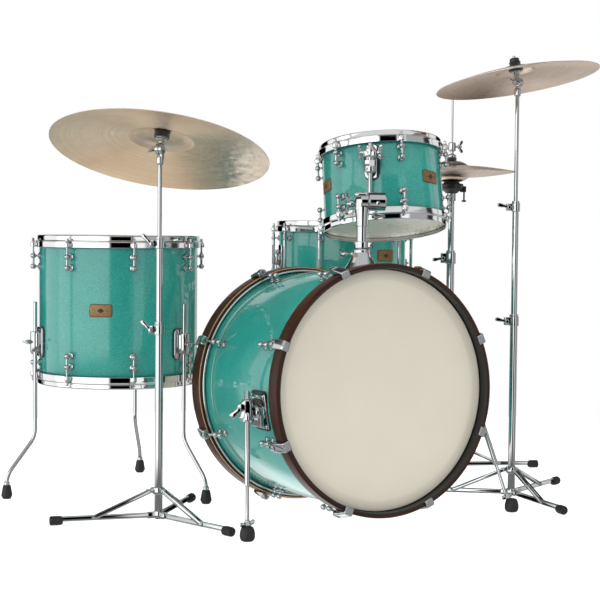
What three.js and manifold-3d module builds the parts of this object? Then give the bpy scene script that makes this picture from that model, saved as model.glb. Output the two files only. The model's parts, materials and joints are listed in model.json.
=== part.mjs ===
// Acoustic drum kit: bass drum, rack tom, floor tom, snare drum, hi-hat and two cymbals on their stands.
// Millimetres, +Z up. The bass drum's front hoop faces -Y and the drummer sits at +Y.
// The layout is drawn with the bass drum's centreline at X = 0 and its front at Y = 0. The finished kit is
// then moved so that the middle of its bounding box, at floor level, is the origin.
import * as THREE from 'three';
import { mergeVertices } from 'three/addons/utils/BufferGeometryUtils.js';
import Module from 'manifold-3d';

const wasm = await Module();
wasm.setup();

// ---------------------------------------------------------------- driving dimensions
const DEG = Math.PI / 180;
const GAP = 0.4;

const BASS = {
  radius: 279.4, wall: 7, depth: 381, sides: 30, lugCount: 8, lugPhase: 22.5, lugInset: 70,
  hoopRadius: 295, hoopBore: 283, hoopWidth: 38, length: 432, tilt: 2.65,
};
const RACK = {
  radius: 152.4, wall: 6, depth: 203, sides: 24, lugCount: 6, lugPhase: 15.1, lugInset: 46,
  centre: [201, 342, 794], axis: [0.051, 0.215, 1],
};
const FLOOR = {
  radius: 203.2, wall: 6, depth: 357, sides: 26, lugCount: 8, lugPhase: 32.2, lugInset: 56,
  centre: [-378, 699, 476.5],
};
const SNARE = {
  radius: 177.8, wall: 6, depth: 165, sides: 24, lugCount: 10, lugPhase: 4, lugInset: 26,
  centre: [299, 698, 616],
};
const LUG = { width: 13, halfLength: 21, height: 23, root: 3, tubeLow: 12, tubeWidth: 9 };
const HEAD = { film: 0.8, clear: 1.2, ringWidth: 5 };
const HOOP = { rise: 10.5, skirt: 20, wall: 2.2, lip: 3, ring: 6.8, ear: 14, earReach: 21 };

const SPUR = {
  foot: [365, -1, 0], pass: [318, 93, 270], pivot: [287, 93, 270], tube: 7, tip: 4.5, footRadius: 17,
  footHeight: 34, above: 34,
};
const HOLDER = {
  at: [0, 120], towards: -29.3, baseLow: 570, baseTop: 641, baseRadius: 52, baseTopRadius: 21,
  postRadius: 12.5, postLow: 505, postTop: 762, stopRadius: 19, stopHeight: 16, neckRadius: 17, neckLow: 694,
  axisZ: 753,
  blockRadius: 22, blockLeft: -17, blockSplit: 14.5, blockRight: 55, rodRadius: 5.25, rodAcross: 25,
  rodDepth: 123, rodTop: 899, bend: 18,
};
const BRACKET = { low: 825, high: 893, width: 36, depth: 30 };
const FLOOR_LEG = {
  angles: [55.3, 175.3, 295.3], rodRadius: 5, reach: 220, footReach: 293, top: 497, bendZ: 154, kneeZ: 58,
  footRadius: 14.5, footHeight: 35, bracketLow: 356, bracketHigh: 434,
};
const TRIPOD = {
  hubZ: 14, pivot: 19.5, legLength: 234, legHeight: 12, legWidth: 6, braceAt: 132, collarUp: 57,
  plate: 2.5, braceHeight: 10, footRadius: 11, footLength: 30, footDrop: 3, hubRadius: 13.5, fold: 80,
};
const RIDE = {
  name: 'ride', at: [-445, 295], legs: [46.2, 166.2, 286.2], tiers: [461, 660], pivotZ: 868,
  lean: 18.2, towards: 41.5, radius: 256, bell: 62, bow: 30, bellRise: 16,
};
const CRASH = {
  name: 'crash', at: [487, 157], legs: [22.4, 142.4, 262.4], tiers: [467, 758], pivotZ: 1065,
  lean: 10.1, towards: 120, radius: 208, bell: 52, bow: 25, bellRise: 14,
};
const STAND = {
  baseRadius: 9.5, baseBore: 8.7, midRadius: 7.9, midBore: 6.4, rodRadius: 5, clampRadius: 15,
  clampHeight: 24, overlap: 230, discRadius: 13, discWidth: 9, seat: 28, cymbal: 41, nut: 50, nutTop: 66,
};
const HIHAT = {
  at: [602, 598], legs: [-22, 218], pedal: 98, legLength: 249, baseRadius: 11, baseBore: 9.4,
  upperRadius: 8.6, upperBore: 6, rodRadius: 3, clampLow: 591, clampHigh: 629, neck: 780, seatLow: 792,
  seatTop: 821, bottomHat: 825, topHat: 883, clutchLow: 899, clutchTop: 937, rodTop: 1087, rodLow: 330,
  radius: 178, bell: 48, bow: 15, bellRise: 14, heel: 305, toe: 62, heelZ: 26, toeZ: 96,
};
const SNARE_STAND = {
  legs: [90, 210, 330], legLength: 200, baseTop: 330, baseRadius: 12.7, baseBore: 10.6,
  postRadius: 10, postLow: 150,
  hingeZ: 450, arms: [22, 142, 262], armReach: 196, armZ: 504, armTop: 539, armRadius: 5,
};

// ---------------------------------------------------------------- materials
const finish = (color, roughness, metalness) =>
  new THREE.MeshStandardMaterial({ color, roughness, metalness });
const FINISH = {
  lacquer: finish(0x1f9e92, 0.2, 0.1),
  wood: finish(0x33180f, 0.35, 0),
  chrome: finish(0xd8dadc, 0.12, 1),
  coated: finish(0xd8d2c2, 0.7, 0),
  bronze: finish(0xb79a6a, 0.35, 1),
  rubber: finish(0x1b1b1b, 0.8, 0),
};

// ---------------------------------------------------------------- geometry helpers
const vec = (x, y, z) => new THREE.Vector3(x, y, z);
const UP = vec(0, 0, 1);
const polar = (angle, radius, z = 0) =>
  vec(radius * Math.cos(angle * DEG), radius * Math.sin(angle * DEG), z);

// A closed solid from a geometry, with its faces turned outwards.
function solid(geometry) {
  if (!geometry.isBufferGeometry) return geometry;
  const bare = geometry.clone();
  bare.deleteAttribute('normal');
  bare.deleteAttribute('uv');
  const merged = mergeVertices(bare, 1e-3);
  const source = merged.index.array;
  const build = (reversed) => {
    const triVerts = [];
    for (let i = 0; i < source.length; i += 3) {
      const [a, b, c] = [source[i], source[i + 1], source[i + 2]];
      if (a === b || b === c || c === a) continue;
      triVerts.push(a, reversed ? c : b, reversed ? b : c);
    }
    return new wasm.Manifold(new wasm.Mesh({
      numProp: 3,
      vertProperties: merged.attributes.position.array,
      triVerts: new Uint32Array(triVerts),
    }));
  };
  const made = build(false);
  return made.volume() < 0 ? build(true) : made;
}

const join = (...shapes) => shapes.flat().map(solid).reduce((whole, next) => whole.add(next));
const cut = (shape, ...tools) => tools.map(solid).reduce((left, tool) => left.subtract(tool), solid(shape));

function toGeometry(shape) {
  const mesh = shape.getMesh();
  const geometry = new THREE.BufferGeometry();
  geometry.setAttribute('position', new THREE.Float32BufferAttribute(mesh.vertProperties, 3));
  geometry.setIndex([...mesh.triVerts]);
  geometry.computeVertexNormals();
  return geometry;
}

// A turned solid about Z from [radius, z] pairs. The profile closes on itself or starts and ends on the axis.
function turned(profile, sides) {
  const onAxis = profile[0][0] === 0;
  const points = (onAxis ? profile : [...profile, profile[0]]).map(([r, z]) => new THREE.Vector2(r, z));
  return new THREE.LatheGeometry(points, sides).rotateX(Math.PI / 2);
}

const pipe = (outer, bore, low, high, sides) =>
  turned([[bore, low], [outer, low], [outer, high], [bore, high]], sides);

function rod(from, to, radius, sides = 10, radiusTop = radius) {
  const length = from.distanceTo(to);
  const direction = to.clone().sub(from).normalize();
  const geometry = new THREE.CylinderGeometry(radiusTop, radius, length, sides);
  geometry.rotateX(Math.PI / 2).translate(0, 0, length / 2);
  geometry.applyQuaternion(new THREE.Quaternion().setFromUnitVectors(UP, direction));
  return geometry.translate(from.x, from.y, from.z);
}

const post = (radius, low, high, sides = 12) => rod(vec(0, 0, low), vec(0, 0, high), radius, sides);

// A box from low to high corners.
function block(low, high) {
  const size = high.map((value, axis) => value - low[axis]);
  const middle = high.map((value, axis) => (value + low[axis]) / 2);
  return new THREE.BoxGeometry(...size).translate(...middle);
}

// A round bar bent along straight stretches with rounded corners.
function bentBar(points, radius, bend, sides = 8) {
  const path = new THREE.CurvePath();
  let start = points[0];
  for (let i = 1; i < points.length - 1; i += 1) {
    const corner = points[i];
    const before = corner.clone().add(points[i - 1].clone().sub(corner).setLength(bend));
    const after = corner.clone().add(points[i + 1].clone().sub(corner).setLength(bend));
    path.add(new THREE.LineCurve3(start, before));
    path.add(new THREE.QuadraticBezierCurve3(before, corner, after));
    start = after;
  }
  path.add(new THREE.LineCurve3(start, points[points.length - 1]));
  const section = new THREE.Shape();
  for (let k = 0; k < sides; k += 1) {
    const turn = (2 * Math.PI * k) / sides;
    const [x, y] = [radius * Math.cos(turn), radius * Math.sin(turn)];
    if (k === 0) section.moveTo(x, y);
    else section.lineTo(x, y);
  }
  const steps = Math.max(6, Math.round(path.getLength() / (bend * 1.8)));
  return new THREE.ExtrudeGeometry(section, { steps, extrudePath: path, curveSegments: 1 });
}

// A flat bar in the XZ plane from an outline of [x, z] pairs, centred on Y.
function flatBar(outline, width, shift = 0) {
  const shape = new THREE.Shape(outline.map(([x, z]) => new THREE.Vector2(x, z)));
  const geometry = new THREE.ExtrudeGeometry(shape, { depth: width, bevelEnabled: false });
  return geometry.rotateX(Math.PI / 2).translate(0, width / 2 + shift, 0);
}

// The outline of a bar with round ends about two pivots on the X axis.
function roundEnded(from, to, halfHeight, arc = 4) {
  const outline = [];
  for (let k = 0; k <= arc; k += 1) {
    const turn = Math.PI / 2 + (Math.PI * k) / arc;
    outline.push([from + halfHeight * Math.cos(turn), halfHeight * Math.sin(turn)]);
  }
  for (let k = 0; k <= arc; k += 1) {
    const turn = -Math.PI / 2 + (Math.PI * k) / arc;
    outline.push([to + halfHeight * Math.cos(turn), halfHeight * Math.sin(turn)]);
  }
  return outline;
}

// A round hole that clears a round bar when both are faceted.
const clearBore = (radius, sides) => (radius + GAP) / Math.cos(Math.PI / sides);

// ---------------------------------------------------------------- scene helpers
const kit = new THREE.Group();

function frameAt(parent, position, rotation) {
  const group = new THREE.Group();
  group.position.copy(position);
  if (rotation) group.rotation.set(...rotation);
  parent.add(group);
  group.updateMatrixWorld(true);
  return group;
}

function piece(parent, name, material, shape) {
  const mesh = new THREE.Mesh(toGeometry(solid(shape)), FINISH[material]);
  mesh.name = name;
  parent.add(mesh);
  return mesh;
}

// A shape drawn in the layout's frame, taken into a group's own frame.
const into = (group, shape) => shape.applyMatrix4(group.matrixWorld.clone().invert());

// ---------------------------------------------------------------- drums
// The envelope of a double-ball lug, parallel to the drum's axis.
function lug(drum, angle, z) {
  const low = [drum.radius - LUG.root, -LUG.width / 2, z - LUG.halfLength];
  const high = [drum.radius + LUG.height, LUG.width / 2, z + LUG.halfLength];
  return block(low, high).rotateZ(angle * DEG);
}

// A tube lug: two feet on the shell with one bar between them, over most of the drum's depth.
function tubeLug(drum, angle) {
  const end = drum.depth / 2 - drum.lugInset;
  const foot = end - 12;
  const outline = [
    [-LUG.root, -end], [LUG.height, -end], [LUG.height, end], [-LUG.root, end],
    [-LUG.root, foot], [LUG.tubeLow, foot], [LUG.tubeLow, -foot], [-LUG.root, -foot],
  ];
  return flatBar(outline, LUG.tubeWidth).translate(drum.radius, 0, 0).rotateZ(angle * DEG);
}

const lugAngles = (drum) =>
  Array.from({ length: drum.lugCount }, (_, k) => drum.lugPhase + (360 * k) / drum.lugCount);

function shellRing(drum) {
  return pipe(drum.radius, drum.radius - drum.wall, -drum.depth / 2, drum.depth / 2, drum.sides);
}

function lugsOf(drum) {
  const z = drum.depth / 2 - drum.lugInset;
  return lugAngles(drum).flatMap((angle) => [lug(drum, angle, z), lug(drum, angle, -z)]);
}

// What stands on a shell is cut to it, so nothing reaches into the drum.
const onShell = (drum, shapes) =>
  cut(join(shapes), post(drum.radius - drum.wall / 2, -drum.depth, drum.depth, drum.sides));

// A drumhead: film, collar and flesh ring. side is 1 at the top of the drum and -1 at the bottom.
function head(drum, side, ringLow, ringHigh) {
  const film = drum.depth / 2 + GAP;
  const inner = drum.radius + HEAD.clear;
  const outer = inner + HEAD.ringWidth;
  const collar = inner + HEAD.film;
  const profile = [
    [0, film], [inner, film], [inner, film - ringLow], [outer, film - ringLow], [outer, film - ringHigh],
    [collar, film - ringHigh], [collar, film + HEAD.film], [0, film + HEAD.film],
  ];
  return turned(profile.map(([r, z]) => [r, z * side]), drum.sides);
}

// A flanged steel hoop with an ear at every tension rod.
function steelHoop(drum, side) {
  const film = drum.depth / 2 + GAP;
  const inner = drum.radius + HOOP.lip;
  const seat = drum.radius + HOOP.ring;
  const outer = seat + HOOP.wall;
  const profile = [
    [seat, film - HOOP.skirt], [outer, film - HOOP.skirt], [outer, film + HOOP.rise],
    [inner, film + HOOP.rise], [inner, film - 5], [seat, film - 5],
  ];
  const ring = turned(profile.map(([r, z]) => [r, z * side]), drum.sides);
  return join(ring, hoopEars(drum, side));
}

// The ears that the tension rods pull on, cut to the inside of the hoop's skirt.
function hoopEars(drum, side) {
  const near = drum.depth / 2 + GAP - HOOP.skirt + 1;
  const zs = [side * near, side * (near + 9)].sort((a, b) => a - b);
  const ears = lugAngles(drum).map((angle) => block(
    [drum.radius + HEAD.ringWidth, -HOOP.ear / 2, zs[0]],
    [drum.radius + HOOP.earReach, HOOP.ear / 2, zs[1]],
  ).rotateZ(angle * DEG));
  return cut(join(ears), post(drum.radius + HOOP.ring, zs[0] - 5, zs[1] + 5, drum.sides));
}

const TOM_RING = [12, 5.8];

// ---------------------------------------------------------------- bass drum
const bassRise = (BASS.length / 2) * Math.sin(BASS.tilt * DEG);
const bassCentre = vec(
  0,
  (BASS.length / 2) * Math.cos(BASS.tilt * DEG),
  BASS.hoopRadius * Math.cos(BASS.tilt * DEG) + bassRise,
);
const bass = frameAt(kit, bassCentre, [-Math.PI / 2 - BASS.tilt * DEG, 0, 0]);

function woodHoop(side) {
  const face = (BASS.length / 2) * side;
  const back = face - BASS.hoopWidth * side;
  return turned([
    [BASS.hoopBore, face], [BASS.hoopRadius, face], [BASS.hoopRadius, back], [BASS.hoopBore, back],
  ], BASS.sides);
}

// The plate and pivot stub that a spur turns on, at the side of the shell.
function spurBracket(side) {
  const [x, y, z] = SPUR.pivot;
  const plate = block([x - 24, y - 27, z - 41], [x - 4, y + 27, z + 41]);
  const stub = rod(vec(x - 8, y, z), vec(x, y, z), 17, 14);
  return [plate, stub].map((shape) => into(bass, shape.scale(side, 1, 1)));
}

const bassHeadRing = () => {
  const film = BASS.depth / 2 + GAP;
  const hoopBack = BASS.length / 2 - BASS.hoopWidth;
  return [film - hoopBack + GAP + 10, film - hoopBack + GAP];
};

function buildBass() {
  const [x, y] = HOLDER.at;
  const postHole = rod(vec(x, y, 500), vec(x, y, 700), HOLDER.postRadius + 2, 16);
  const fittings = onShell(BASS, [...lugsOf(BASS), ...spurBracket(1), ...spurBracket(-1)]);
  piece(bass, 'bass_shell', 'lacquer', cut(join(shellRing(BASS), fittings), into(bass, postHole)));
  piece(bass, 'bass_batter_head', 'coated', head(BASS, 1, ...bassHeadRing()));
  piece(bass, 'bass_front_head', 'coated', head(BASS, -1, ...bassHeadRing()));
  piece(bass, 'bass_batter_hoop', 'wood', woodHoop(1));
  piece(bass, 'bass_front_hoop', 'wood', woodHoop(-1));
}

// A spur turns about X on its bracket, to fold forwards and up beside the shell.
function buildSpur(side, name) {
  const foot = vec(...SPUR.foot);
  const pass = vec(...SPUR.pass);
  const run = pass.clone().sub(foot);
  const top = pass.clone().add(run.clone().setLength(SPUR.above));
  const joint = foot.clone().addScaledVector(run, 0.42);
  const ankle = foot.clone().addScaledVector(run, 0.1);
  const [x, y, z] = SPUR.pivot;
  const shapes = [
    rod(vec(x + GAP, y, z), vec(x + 22, y, z), 17, 14),
    block([x + 14, y - 17, z - 21], [x + 44, y + 17, z + 21]),
    rod(joint, top, SPUR.tube, 12),
    rod(ankle, joint.clone().addScaledVector(run, 0.03), SPUR.tip, 10),
    rod(vec(ankle.x, ankle.y, 0), vec(ankle.x, ankle.y, SPUR.footHeight), SPUR.footRadius, 16, 14),
  ];
  piece(kit, name, 'chrome', join(shapes.map((shape) => shape.scale(side, 1, 1))));
}

// ---------------------------------------------------------------- tom holder
const holder = frameAt(kit, vec(HOLDER.at[0], HOLDER.at[1], 0), [0, 0, HOLDER.towards * DEG]);

function buildHolder() {
  const [x, y] = HOLDER.at;
  const bore = clearBore(HOLDER.postRadius, 20);
  const foot = rod(vec(x, y, HOLDER.baseLow), vec(x, y, HOLDER.baseTop), HOLDER.baseRadius, 16,
    HOLDER.baseTopRadius);
  const shellClear = post(clearBore(BASS.radius, BASS.sides), -BASS.depth, BASS.depth, BASS.sides);
  shellClear.applyMatrix4(bass.matrixWorld);
  const hole = rod(vec(x, y, 550), vec(x, y, 700), bore, 20);
  piece(kit, 'tom_mount_base', 'chrome', cut(foot, shellClear, hole));

  // The post's collar rests on the base, so the post only rises from here.
  const postWithStop = join(
    post(HOLDER.postRadius, HOLDER.postLow, HOLDER.postTop, 16),
    post(HOLDER.stopRadius, HOLDER.baseTop + GAP, HOLDER.baseTop + HOLDER.stopHeight, 16),
  );
  piece(holder, 'tom_post', 'chrome', postWithStop);

  const axisAt = (across, back = 0) => vec(across, back, HOLDER.axisZ);
  const discAt = (from, to, radius) => rod(axisAt(from), axisAt(to), radius, 18);
  const leftHalf = join(
    post(HOLDER.neckRadius, HOLDER.neckLow, HOLDER.axisZ, 16),
    discAt(HOLDER.blockLeft, HOLDER.blockSplit, HOLDER.blockRadius),
  );
  const postBore = post(bore, HOLDER.baseTop, HOLDER.postTop + GAP, 20);
  const armRoom = discAt(HOLDER.blockSplit, HOLDER.blockRight, clearBore(HOLDER.blockRadius, 18));
  piece(holder, 'tom_head_block', 'chrome', cut(leftHalf, postBore, armRoom));

  const side = HOLDER.rodAcross;
  const path = [
    axisAt(side, -4), axisAt(side, HOLDER.rodDepth), vec(side, HOLDER.rodDepth, HOLDER.rodTop),
  ];
  const rightHalf = discAt(HOLDER.blockSplit + GAP, HOLDER.blockRight, HOLDER.blockRadius);
  piece(holder, 'tom_arm', 'chrome', join(rightHalf, bentBar(path, HOLDER.rodRadius, HOLDER.bend, 10)));
}

// ---------------------------------------------------------------- rack tom
const rack = frameAt(kit, vec(...RACK.centre));
rack.quaternion.setFromUnitVectors(UP, vec(...RACK.axis).normalize());
rack.updateMatrixWorld(true);

function rackBracket() {
  const bar = holder.localToWorld(vec(HOLDER.rodAcross, HOLDER.rodDepth, 0));
  const inward = vec(RACK.centre[0] - bar.x, RACK.centre[1] - bar.y, 0);
  const turn = Math.atan2(inward.y, inward.x);
  const clamp = block([-BRACKET.depth / 2, -BRACKET.width / 2, BRACKET.low],
    [BRACKET.depth / 2, BRACKET.width / 2, BRACKET.high]);
  const neck = block([0, -13, BRACKET.low + 6], [48, 13, BRACKET.high - 8]);
  const shapes = [clamp, neck].map((shape) => into(rack, shape.rotateZ(turn).translate(bar.x, bar.y, 0)));
  const hole = rod(vec(bar.x, bar.y, 700), vec(bar.x, bar.y, 1000), clearBore(HOLDER.rodRadius, 16), 16);
  return cut(onShell(RACK, shapes), into(rack, hole));
}

function buildRack() {
  piece(rack, 'rack_shell', 'lacquer', join(shellRing(RACK), onShell(RACK, lugsOf(RACK)), rackBracket()));
  piece(rack, 'rack_batter_head', 'coated', head(RACK, 1, ...TOM_RING));
  piece(rack, 'rack_batter_hoop', 'chrome', steelHoop(RACK, 1));
  piece(rack, 'rack_resonant_hoop', 'chrome', resonant(RACK));
}

// The lower hoop with its head pressed into it, as one piece.
function resonant(drum) {
  const film = drum.depth / 2 + GAP;
  const inner = drum.radius + HEAD.clear;
  const seat = drum.radius + HOOP.ring;
  const outer = seat + HOOP.wall;
  const lip = drum.radius + HOOP.lip;
  const profile = [
    [0, film], [inner, film], [inner, film - TOM_RING[0]], [seat, film - TOM_RING[0]],
    [seat, film - HOOP.skirt], [outer, film - HOOP.skirt], [outer, film + HOOP.rise],
    [lip, film + HOOP.rise], [lip, film + HEAD.film], [0, film + HEAD.film],
  ];
  return join(turned(profile.map(([r, z]) => [r, -z]), drum.sides), hoopEars(drum, -1));
}

// ---------------------------------------------------------------- floor tom
const floorTom = frameAt(kit, vec(...FLOOR.centre));

function legBracket(angle) {
  const low = FLOOR_LEG.bracketLow - FLOOR.centre[2];
  const high = FLOOR_LEG.bracketHigh - FLOOR.centre[2];
  const plate = block([FLOOR.radius - 5, -24, low], [FLOOR.radius + 5, 24, high]);
  const clamp = block([FLOOR.radius, -14, low + 14], [FLOOR_LEG.reach + 13, 14, high - 12]);
  const hole = post(clearBore(FLOOR_LEG.rodRadius, 16), -400, 400, 16).translate(FLOOR_LEG.reach, 0, 0);
  return cut(join(plate, clamp), hole).rotate([0, 0, angle]);
}

function buildFloorTom() {
  const fittings = onShell(FLOOR, [...lugsOf(FLOOR), ...FLOOR_LEG.angles.map(legBracket)]);
  piece(floorTom, 'floor_shell', 'lacquer', join(shellRing(FLOOR), fittings));
  piece(floorTom, 'floor_batter_head', 'coated', head(FLOOR, 1, ...TOM_RING));
  piece(floorTom, 'floor_batter_hoop', 'chrome', steelHoop(FLOOR, 1));
  piece(floorTom, 'floor_resonant_hoop', 'chrome', resonant(FLOOR));
  FLOOR_LEG.angles.forEach((angle, k) => {
    const leg = frameAt(kit, vec(FLOOR.centre[0], FLOOR.centre[1], 0), [0, 0, angle * DEG]);
    const path = [
      vec(FLOOR_LEG.reach, 0, FLOOR_LEG.top), vec(FLOOR_LEG.reach, 0, FLOOR_LEG.bendZ),
      vec(FLOOR_LEG.footReach, 0, FLOOR_LEG.kneeZ), vec(FLOOR_LEG.footReach, 0, 8),
    ];
    const foot = rod(vec(FLOOR_LEG.footReach, 0, 0), vec(FLOOR_LEG.footReach, 0, FLOOR_LEG.footHeight),
      FLOOR_LEG.footRadius, 12, 11);
    piece(leg, `floor_leg_${k + 1}`, 'chrome', join(bentBar(path, FLOOR_LEG.rodRadius, 24, 8), foot));
  });
}

// ---------------------------------------------------------------- snare drum and its stand
const snare = frameAt(kit, vec(...SNARE.centre));
const snareStand = frameAt(kit, vec(SNARE.centre[0], SNARE.centre[1], 0));
const THROW_OFF = { angle: 166, low: -34, leverLow: -26, high: 26, reach: 20 };

function buildSnare() {
  const tubes = lugAngles(SNARE).map((angle) => tubeLug(SNARE, angle));
  const strainer = block([SNARE.radius - 4, -17, THROW_OFF.low], [SNARE.radius + THROW_OFF.reach, 17, 4])
    .rotateZ(THROW_OFF.angle * DEG);
  piece(snare, 'snare_shell', 'lacquer', join(shellRing(SNARE), onShell(SNARE, [...tubes, strainer])));
  piece(snare, 'snare_batter_head', 'coated', head(SNARE, 1, ...TOM_RING));
  piece(snare, 'snare_batter_hoop', 'chrome', steelHoop(SNARE, 1));
  piece(snare, 'snare_resonant_hoop', 'chrome', resonant(SNARE));
  const lever = block([SNARE.radius + THROW_OFF.reach + GAP, -8, THROW_OFF.leverLow],
    [SNARE.radius + THROW_OFF.reach + 7, 8, THROW_OFF.high]);
  piece(snare, 'snare_throw_off_lever', 'chrome', lever.rotateZ(THROW_OFF.angle * DEG));
}

// A low three-legged foot that doesn't fold: legs, braces and their two collars in one piece.
function fixedTripod(angles, tubeRadius, length) {
  const collarZ = TRIPOD.hubZ + TRIPOD.collarUp;
  const legs = angles.flatMap((angle) => {
    const start = vec(tubeRadius, 0, TRIPOD.hubZ);
    const bar = block([tubeRadius - 2, -3, 8], [TRIPOD.pivot + length - 12, 3, 20]);
    const footEnd = TRIPOD.pivot + length;
    const foot = rod(vec(footEnd - TRIPOD.footLength, 0, 11), vec(footEnd, 0, 11), TRIPOD.footRadius, 8);
    const brace = rod(vec(start.x, 0, collarZ), vec(TRIPOD.pivot + TRIPOD.braceAt, 0, 16), 5, 6);
    return [bar, foot, brace].map((shape) => shape.rotateZ(angle * DEG));
  });
  return [
    ...legs, post(tubeRadius + 5, TRIPOD.hubZ - 8, TRIPOD.hubZ + 10, 10),
    post(tubeRadius + 5, collarZ - 9, collarZ + 9, 10),
  ];
}

function buildSnareStand() {
  const { baseTop, baseRadius, baseBore, postRadius, postLow, hingeZ } = SNARE_STAND;
  const base = join(
    ...fixedTripod(SNARE_STAND.legs, baseRadius, SNARE_STAND.legLength),
    post(baseRadius, TRIPOD.hubZ, baseTop - 10, 12), post(baseRadius + 6, baseTop - 22, baseTop, 12),
    block([baseRadius, -8, baseTop - 20], [36, 8, baseTop - 2]),
  );
  piece(snareStand, 'snare_stand_base', 'chrome', cut(base, post(baseBore + GAP, 90, baseTop + 5, 12)));

  const hinge = (from, to) => rod(vec(from, 0, hingeZ), vec(to, 0, hingeZ), 16, 14);
  const cheek = block([-13, -8, hingeZ - 28], [-2, 8, hingeZ - 4]);
  const postShape = join(post(postRadius, postLow, hingeZ - 18, 12), cheek, hinge(-14, -GAP));
  piece(snareStand, 'snare_stand_post', 'chrome', postShape);

  const arms = SNARE_STAND.arms.map((angle) => {
    const path = [
      polar(angle, 0, hingeZ + 32), polar(angle, SNARE_STAND.armReach, SNARE_STAND.armZ),
      polar(angle, SNARE_STAND.armReach, SNARE_STAND.armTop),
    ];
    return bentBar(path, SNARE_STAND.armRadius, 13, 6);
  });
  const basket = join(
    ...arms, hinge(0, 14), post(20, hingeZ + 20, hingeZ + 42, 14),
    block([GAP + 1, -9, hingeZ], [14, 9, hingeZ + 30]),
  );
  piece(snareStand, 'snare_stand_basket', 'chrome', basket);
}

// ---------------------------------------------------------------- cymbals
// A hammered plate with a bell, a bow and a hole for its sleeve. z is 0 at the hole's underside.
function cymbal({ radius, bell, bow, bellRise }, hole = 6.8, thickness = 1.6, direction = 1) {
  const foot = -bellRise;
  const surface = [[hole, 0], [bell * 0.55, -bellRise * 0.3], [bell, foot]];
  for (const share of [0.5, 1]) {
    const r = bell + (radius - bell) * share;
    surface.push([r, foot - bow * share ** 1.7]);
  }
  const under = surface.map(([r, z]) => [r, z * direction]);
  const over = surface.map(([r, z]) => [r, (z + thickness) * direction]).reverse();
  return turned([...under, ...over], 24);
}

// ---------------------------------------------------------------- hi-hat
const hihat = frameAt(kit, vec(HIHAT.at[0], HIHAT.at[1], 0));

function buildHihat() {
  const pedalTurn = HIHAT.pedal * DEG;
  const plate = [
    block([0, -34, 0], [HIHAT.heel + 20, 34, 4]),
    block([HIHAT.heel - 14, -42, 0], [HIHAT.heel + 26, 42, HIHAT.heelZ - 9]),
  ].map((shape) => shape.rotateZ(pedalTurn));
  const base = join(
    ...fixedTripod(HIHAT.legs, HIHAT.baseRadius, HIHAT.legLength), ...plate,
    post(HIHAT.baseRadius, 2, HIHAT.clampLow + 10, 12), post(16, HIHAT.clampLow, HIHAT.clampHigh, 12),
    block([8, -9, HIHAT.clampLow + 4], [28, 9, HIHAT.clampHigh - 12]).rotateZ(150 * DEG),
  );
  piece(hihat, 'hihat_base', 'chrome', cut(base, post(clearBore(HIHAT.upperRadius, 12), 90, 700, 12)));

  const upper = join(
    post(HIHAT.upperRadius, 390, HIHAT.neck, 12), post(13, HIHAT.neck - 8, HIHAT.seatLow, 14),
    turned([[0, HIHAT.seatLow - 2], [20, HIHAT.seatLow - 2], [34, HIHAT.seatTop - 6], [34, HIHAT.seatTop - 2],
      [13, HIHAT.seatTop], [0, HIHAT.seatTop]], 16),
  );
  piece(hihat, 'hihat_upper_tube', 'chrome', cut(upper, post(HIHAT.upperBore, 300, 900, 12)));

  const pull = join(
    post(HIHAT.rodRadius, HIHAT.rodLow, HIHAT.rodTop, 8),
    post(11, HIHAT.clutchLow - 6, HIHAT.clutchTop, 14), post(6, HIHAT.topHat - 18, HIHAT.clutchTop, 10),
    post(13, HIHAT.topHat - 18, HIHAT.topHat - 10, 14),
    block([4, -4, HIHAT.clutchLow + 11], [26, 4, HIHAT.clutchTop - 11]),
  );
  piece(hihat, 'hihat_pull_rod', 'chrome', pull);
  piece(hihat, 'hihat_top_cymbal', 'bronze', cymbal(HIHAT).translate(0, 0, HIHAT.topHat));
  piece(hihat, 'hihat_bottom_cymbal', 'bronze', cymbal(HIHAT, 6.8, 1.6, -1).translate(0, 0, HIHAT.bottomHat));

  const run = Math.hypot(HIHAT.heel - HIHAT.toe, HIHAT.toeZ - HIHAT.heelZ);
  const rise = Math.atan2(HIHAT.toeZ - HIHAT.heelZ, HIHAT.heel - HIHAT.toe);
  const pedal = frameAt(hihat, polar(HIHAT.pedal, HIHAT.heel, HIHAT.heelZ), [0, 0, pedalTurn + Math.PI]);
  const board = join(
    block([0, -38, -3], [run, 38, 3]), rod(vec(0, -38, 0), vec(0, 38, 0), 6, 10),
  ).rotate([0, -rise / DEG, 0]);
  piece(pedal, 'hihat_pedal', 'chrome', board);
}

// ---------------------------------------------------------------- cymbal stands
function legShape() {
  const half = TRIPOD.legHeight / 2;
  const bar = flatBar(roundEnded(0, TRIPOD.legLength - 16, half), TRIPOD.legWidth);
  const end = TRIPOD.legLength;
  const foot = rod(vec(end - TRIPOD.footLength, 0, -TRIPOD.footDrop), vec(end, 0, -TRIPOD.footDrop),
    TRIPOD.footRadius, 12);
  return join(bar, foot);
}

// A brace is a fork: two plates that pass either side of the leg, joined by a web near the collar.
function braceShape() {
  const length = Math.hypot(TRIPOD.braceAt, TRIPOD.collarUp);
  const half = TRIPOD.braceHeight / 2;
  const inner = TRIPOD.legWidth / 2 + GAP;
  const outline = roundEnded(0, length, half);
  const shift = inner + TRIPOD.plate / 2;
  const web = block([12, -inner - 1, -half + 1], [24, inner + 1, half - 1]);
  return join(flatBar(outline, TRIPOD.plate, shift), flatBar(outline, TRIPOD.plate, -shift), web);
}

// Ears for a leg on the hub: two plates with the leg between them.
function hubEars(radius) {
  const inner = TRIPOD.legWidth / 2 + GAP;
  return [1, -1].map((side) => {
    const ys = [side * inner, side * (inner + 3)].sort((a, b) => a - b);
    return block([radius - 4, ys[0], -7], [TRIPOD.pivot + 7, ys[1], 7]);
  });
}

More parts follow.
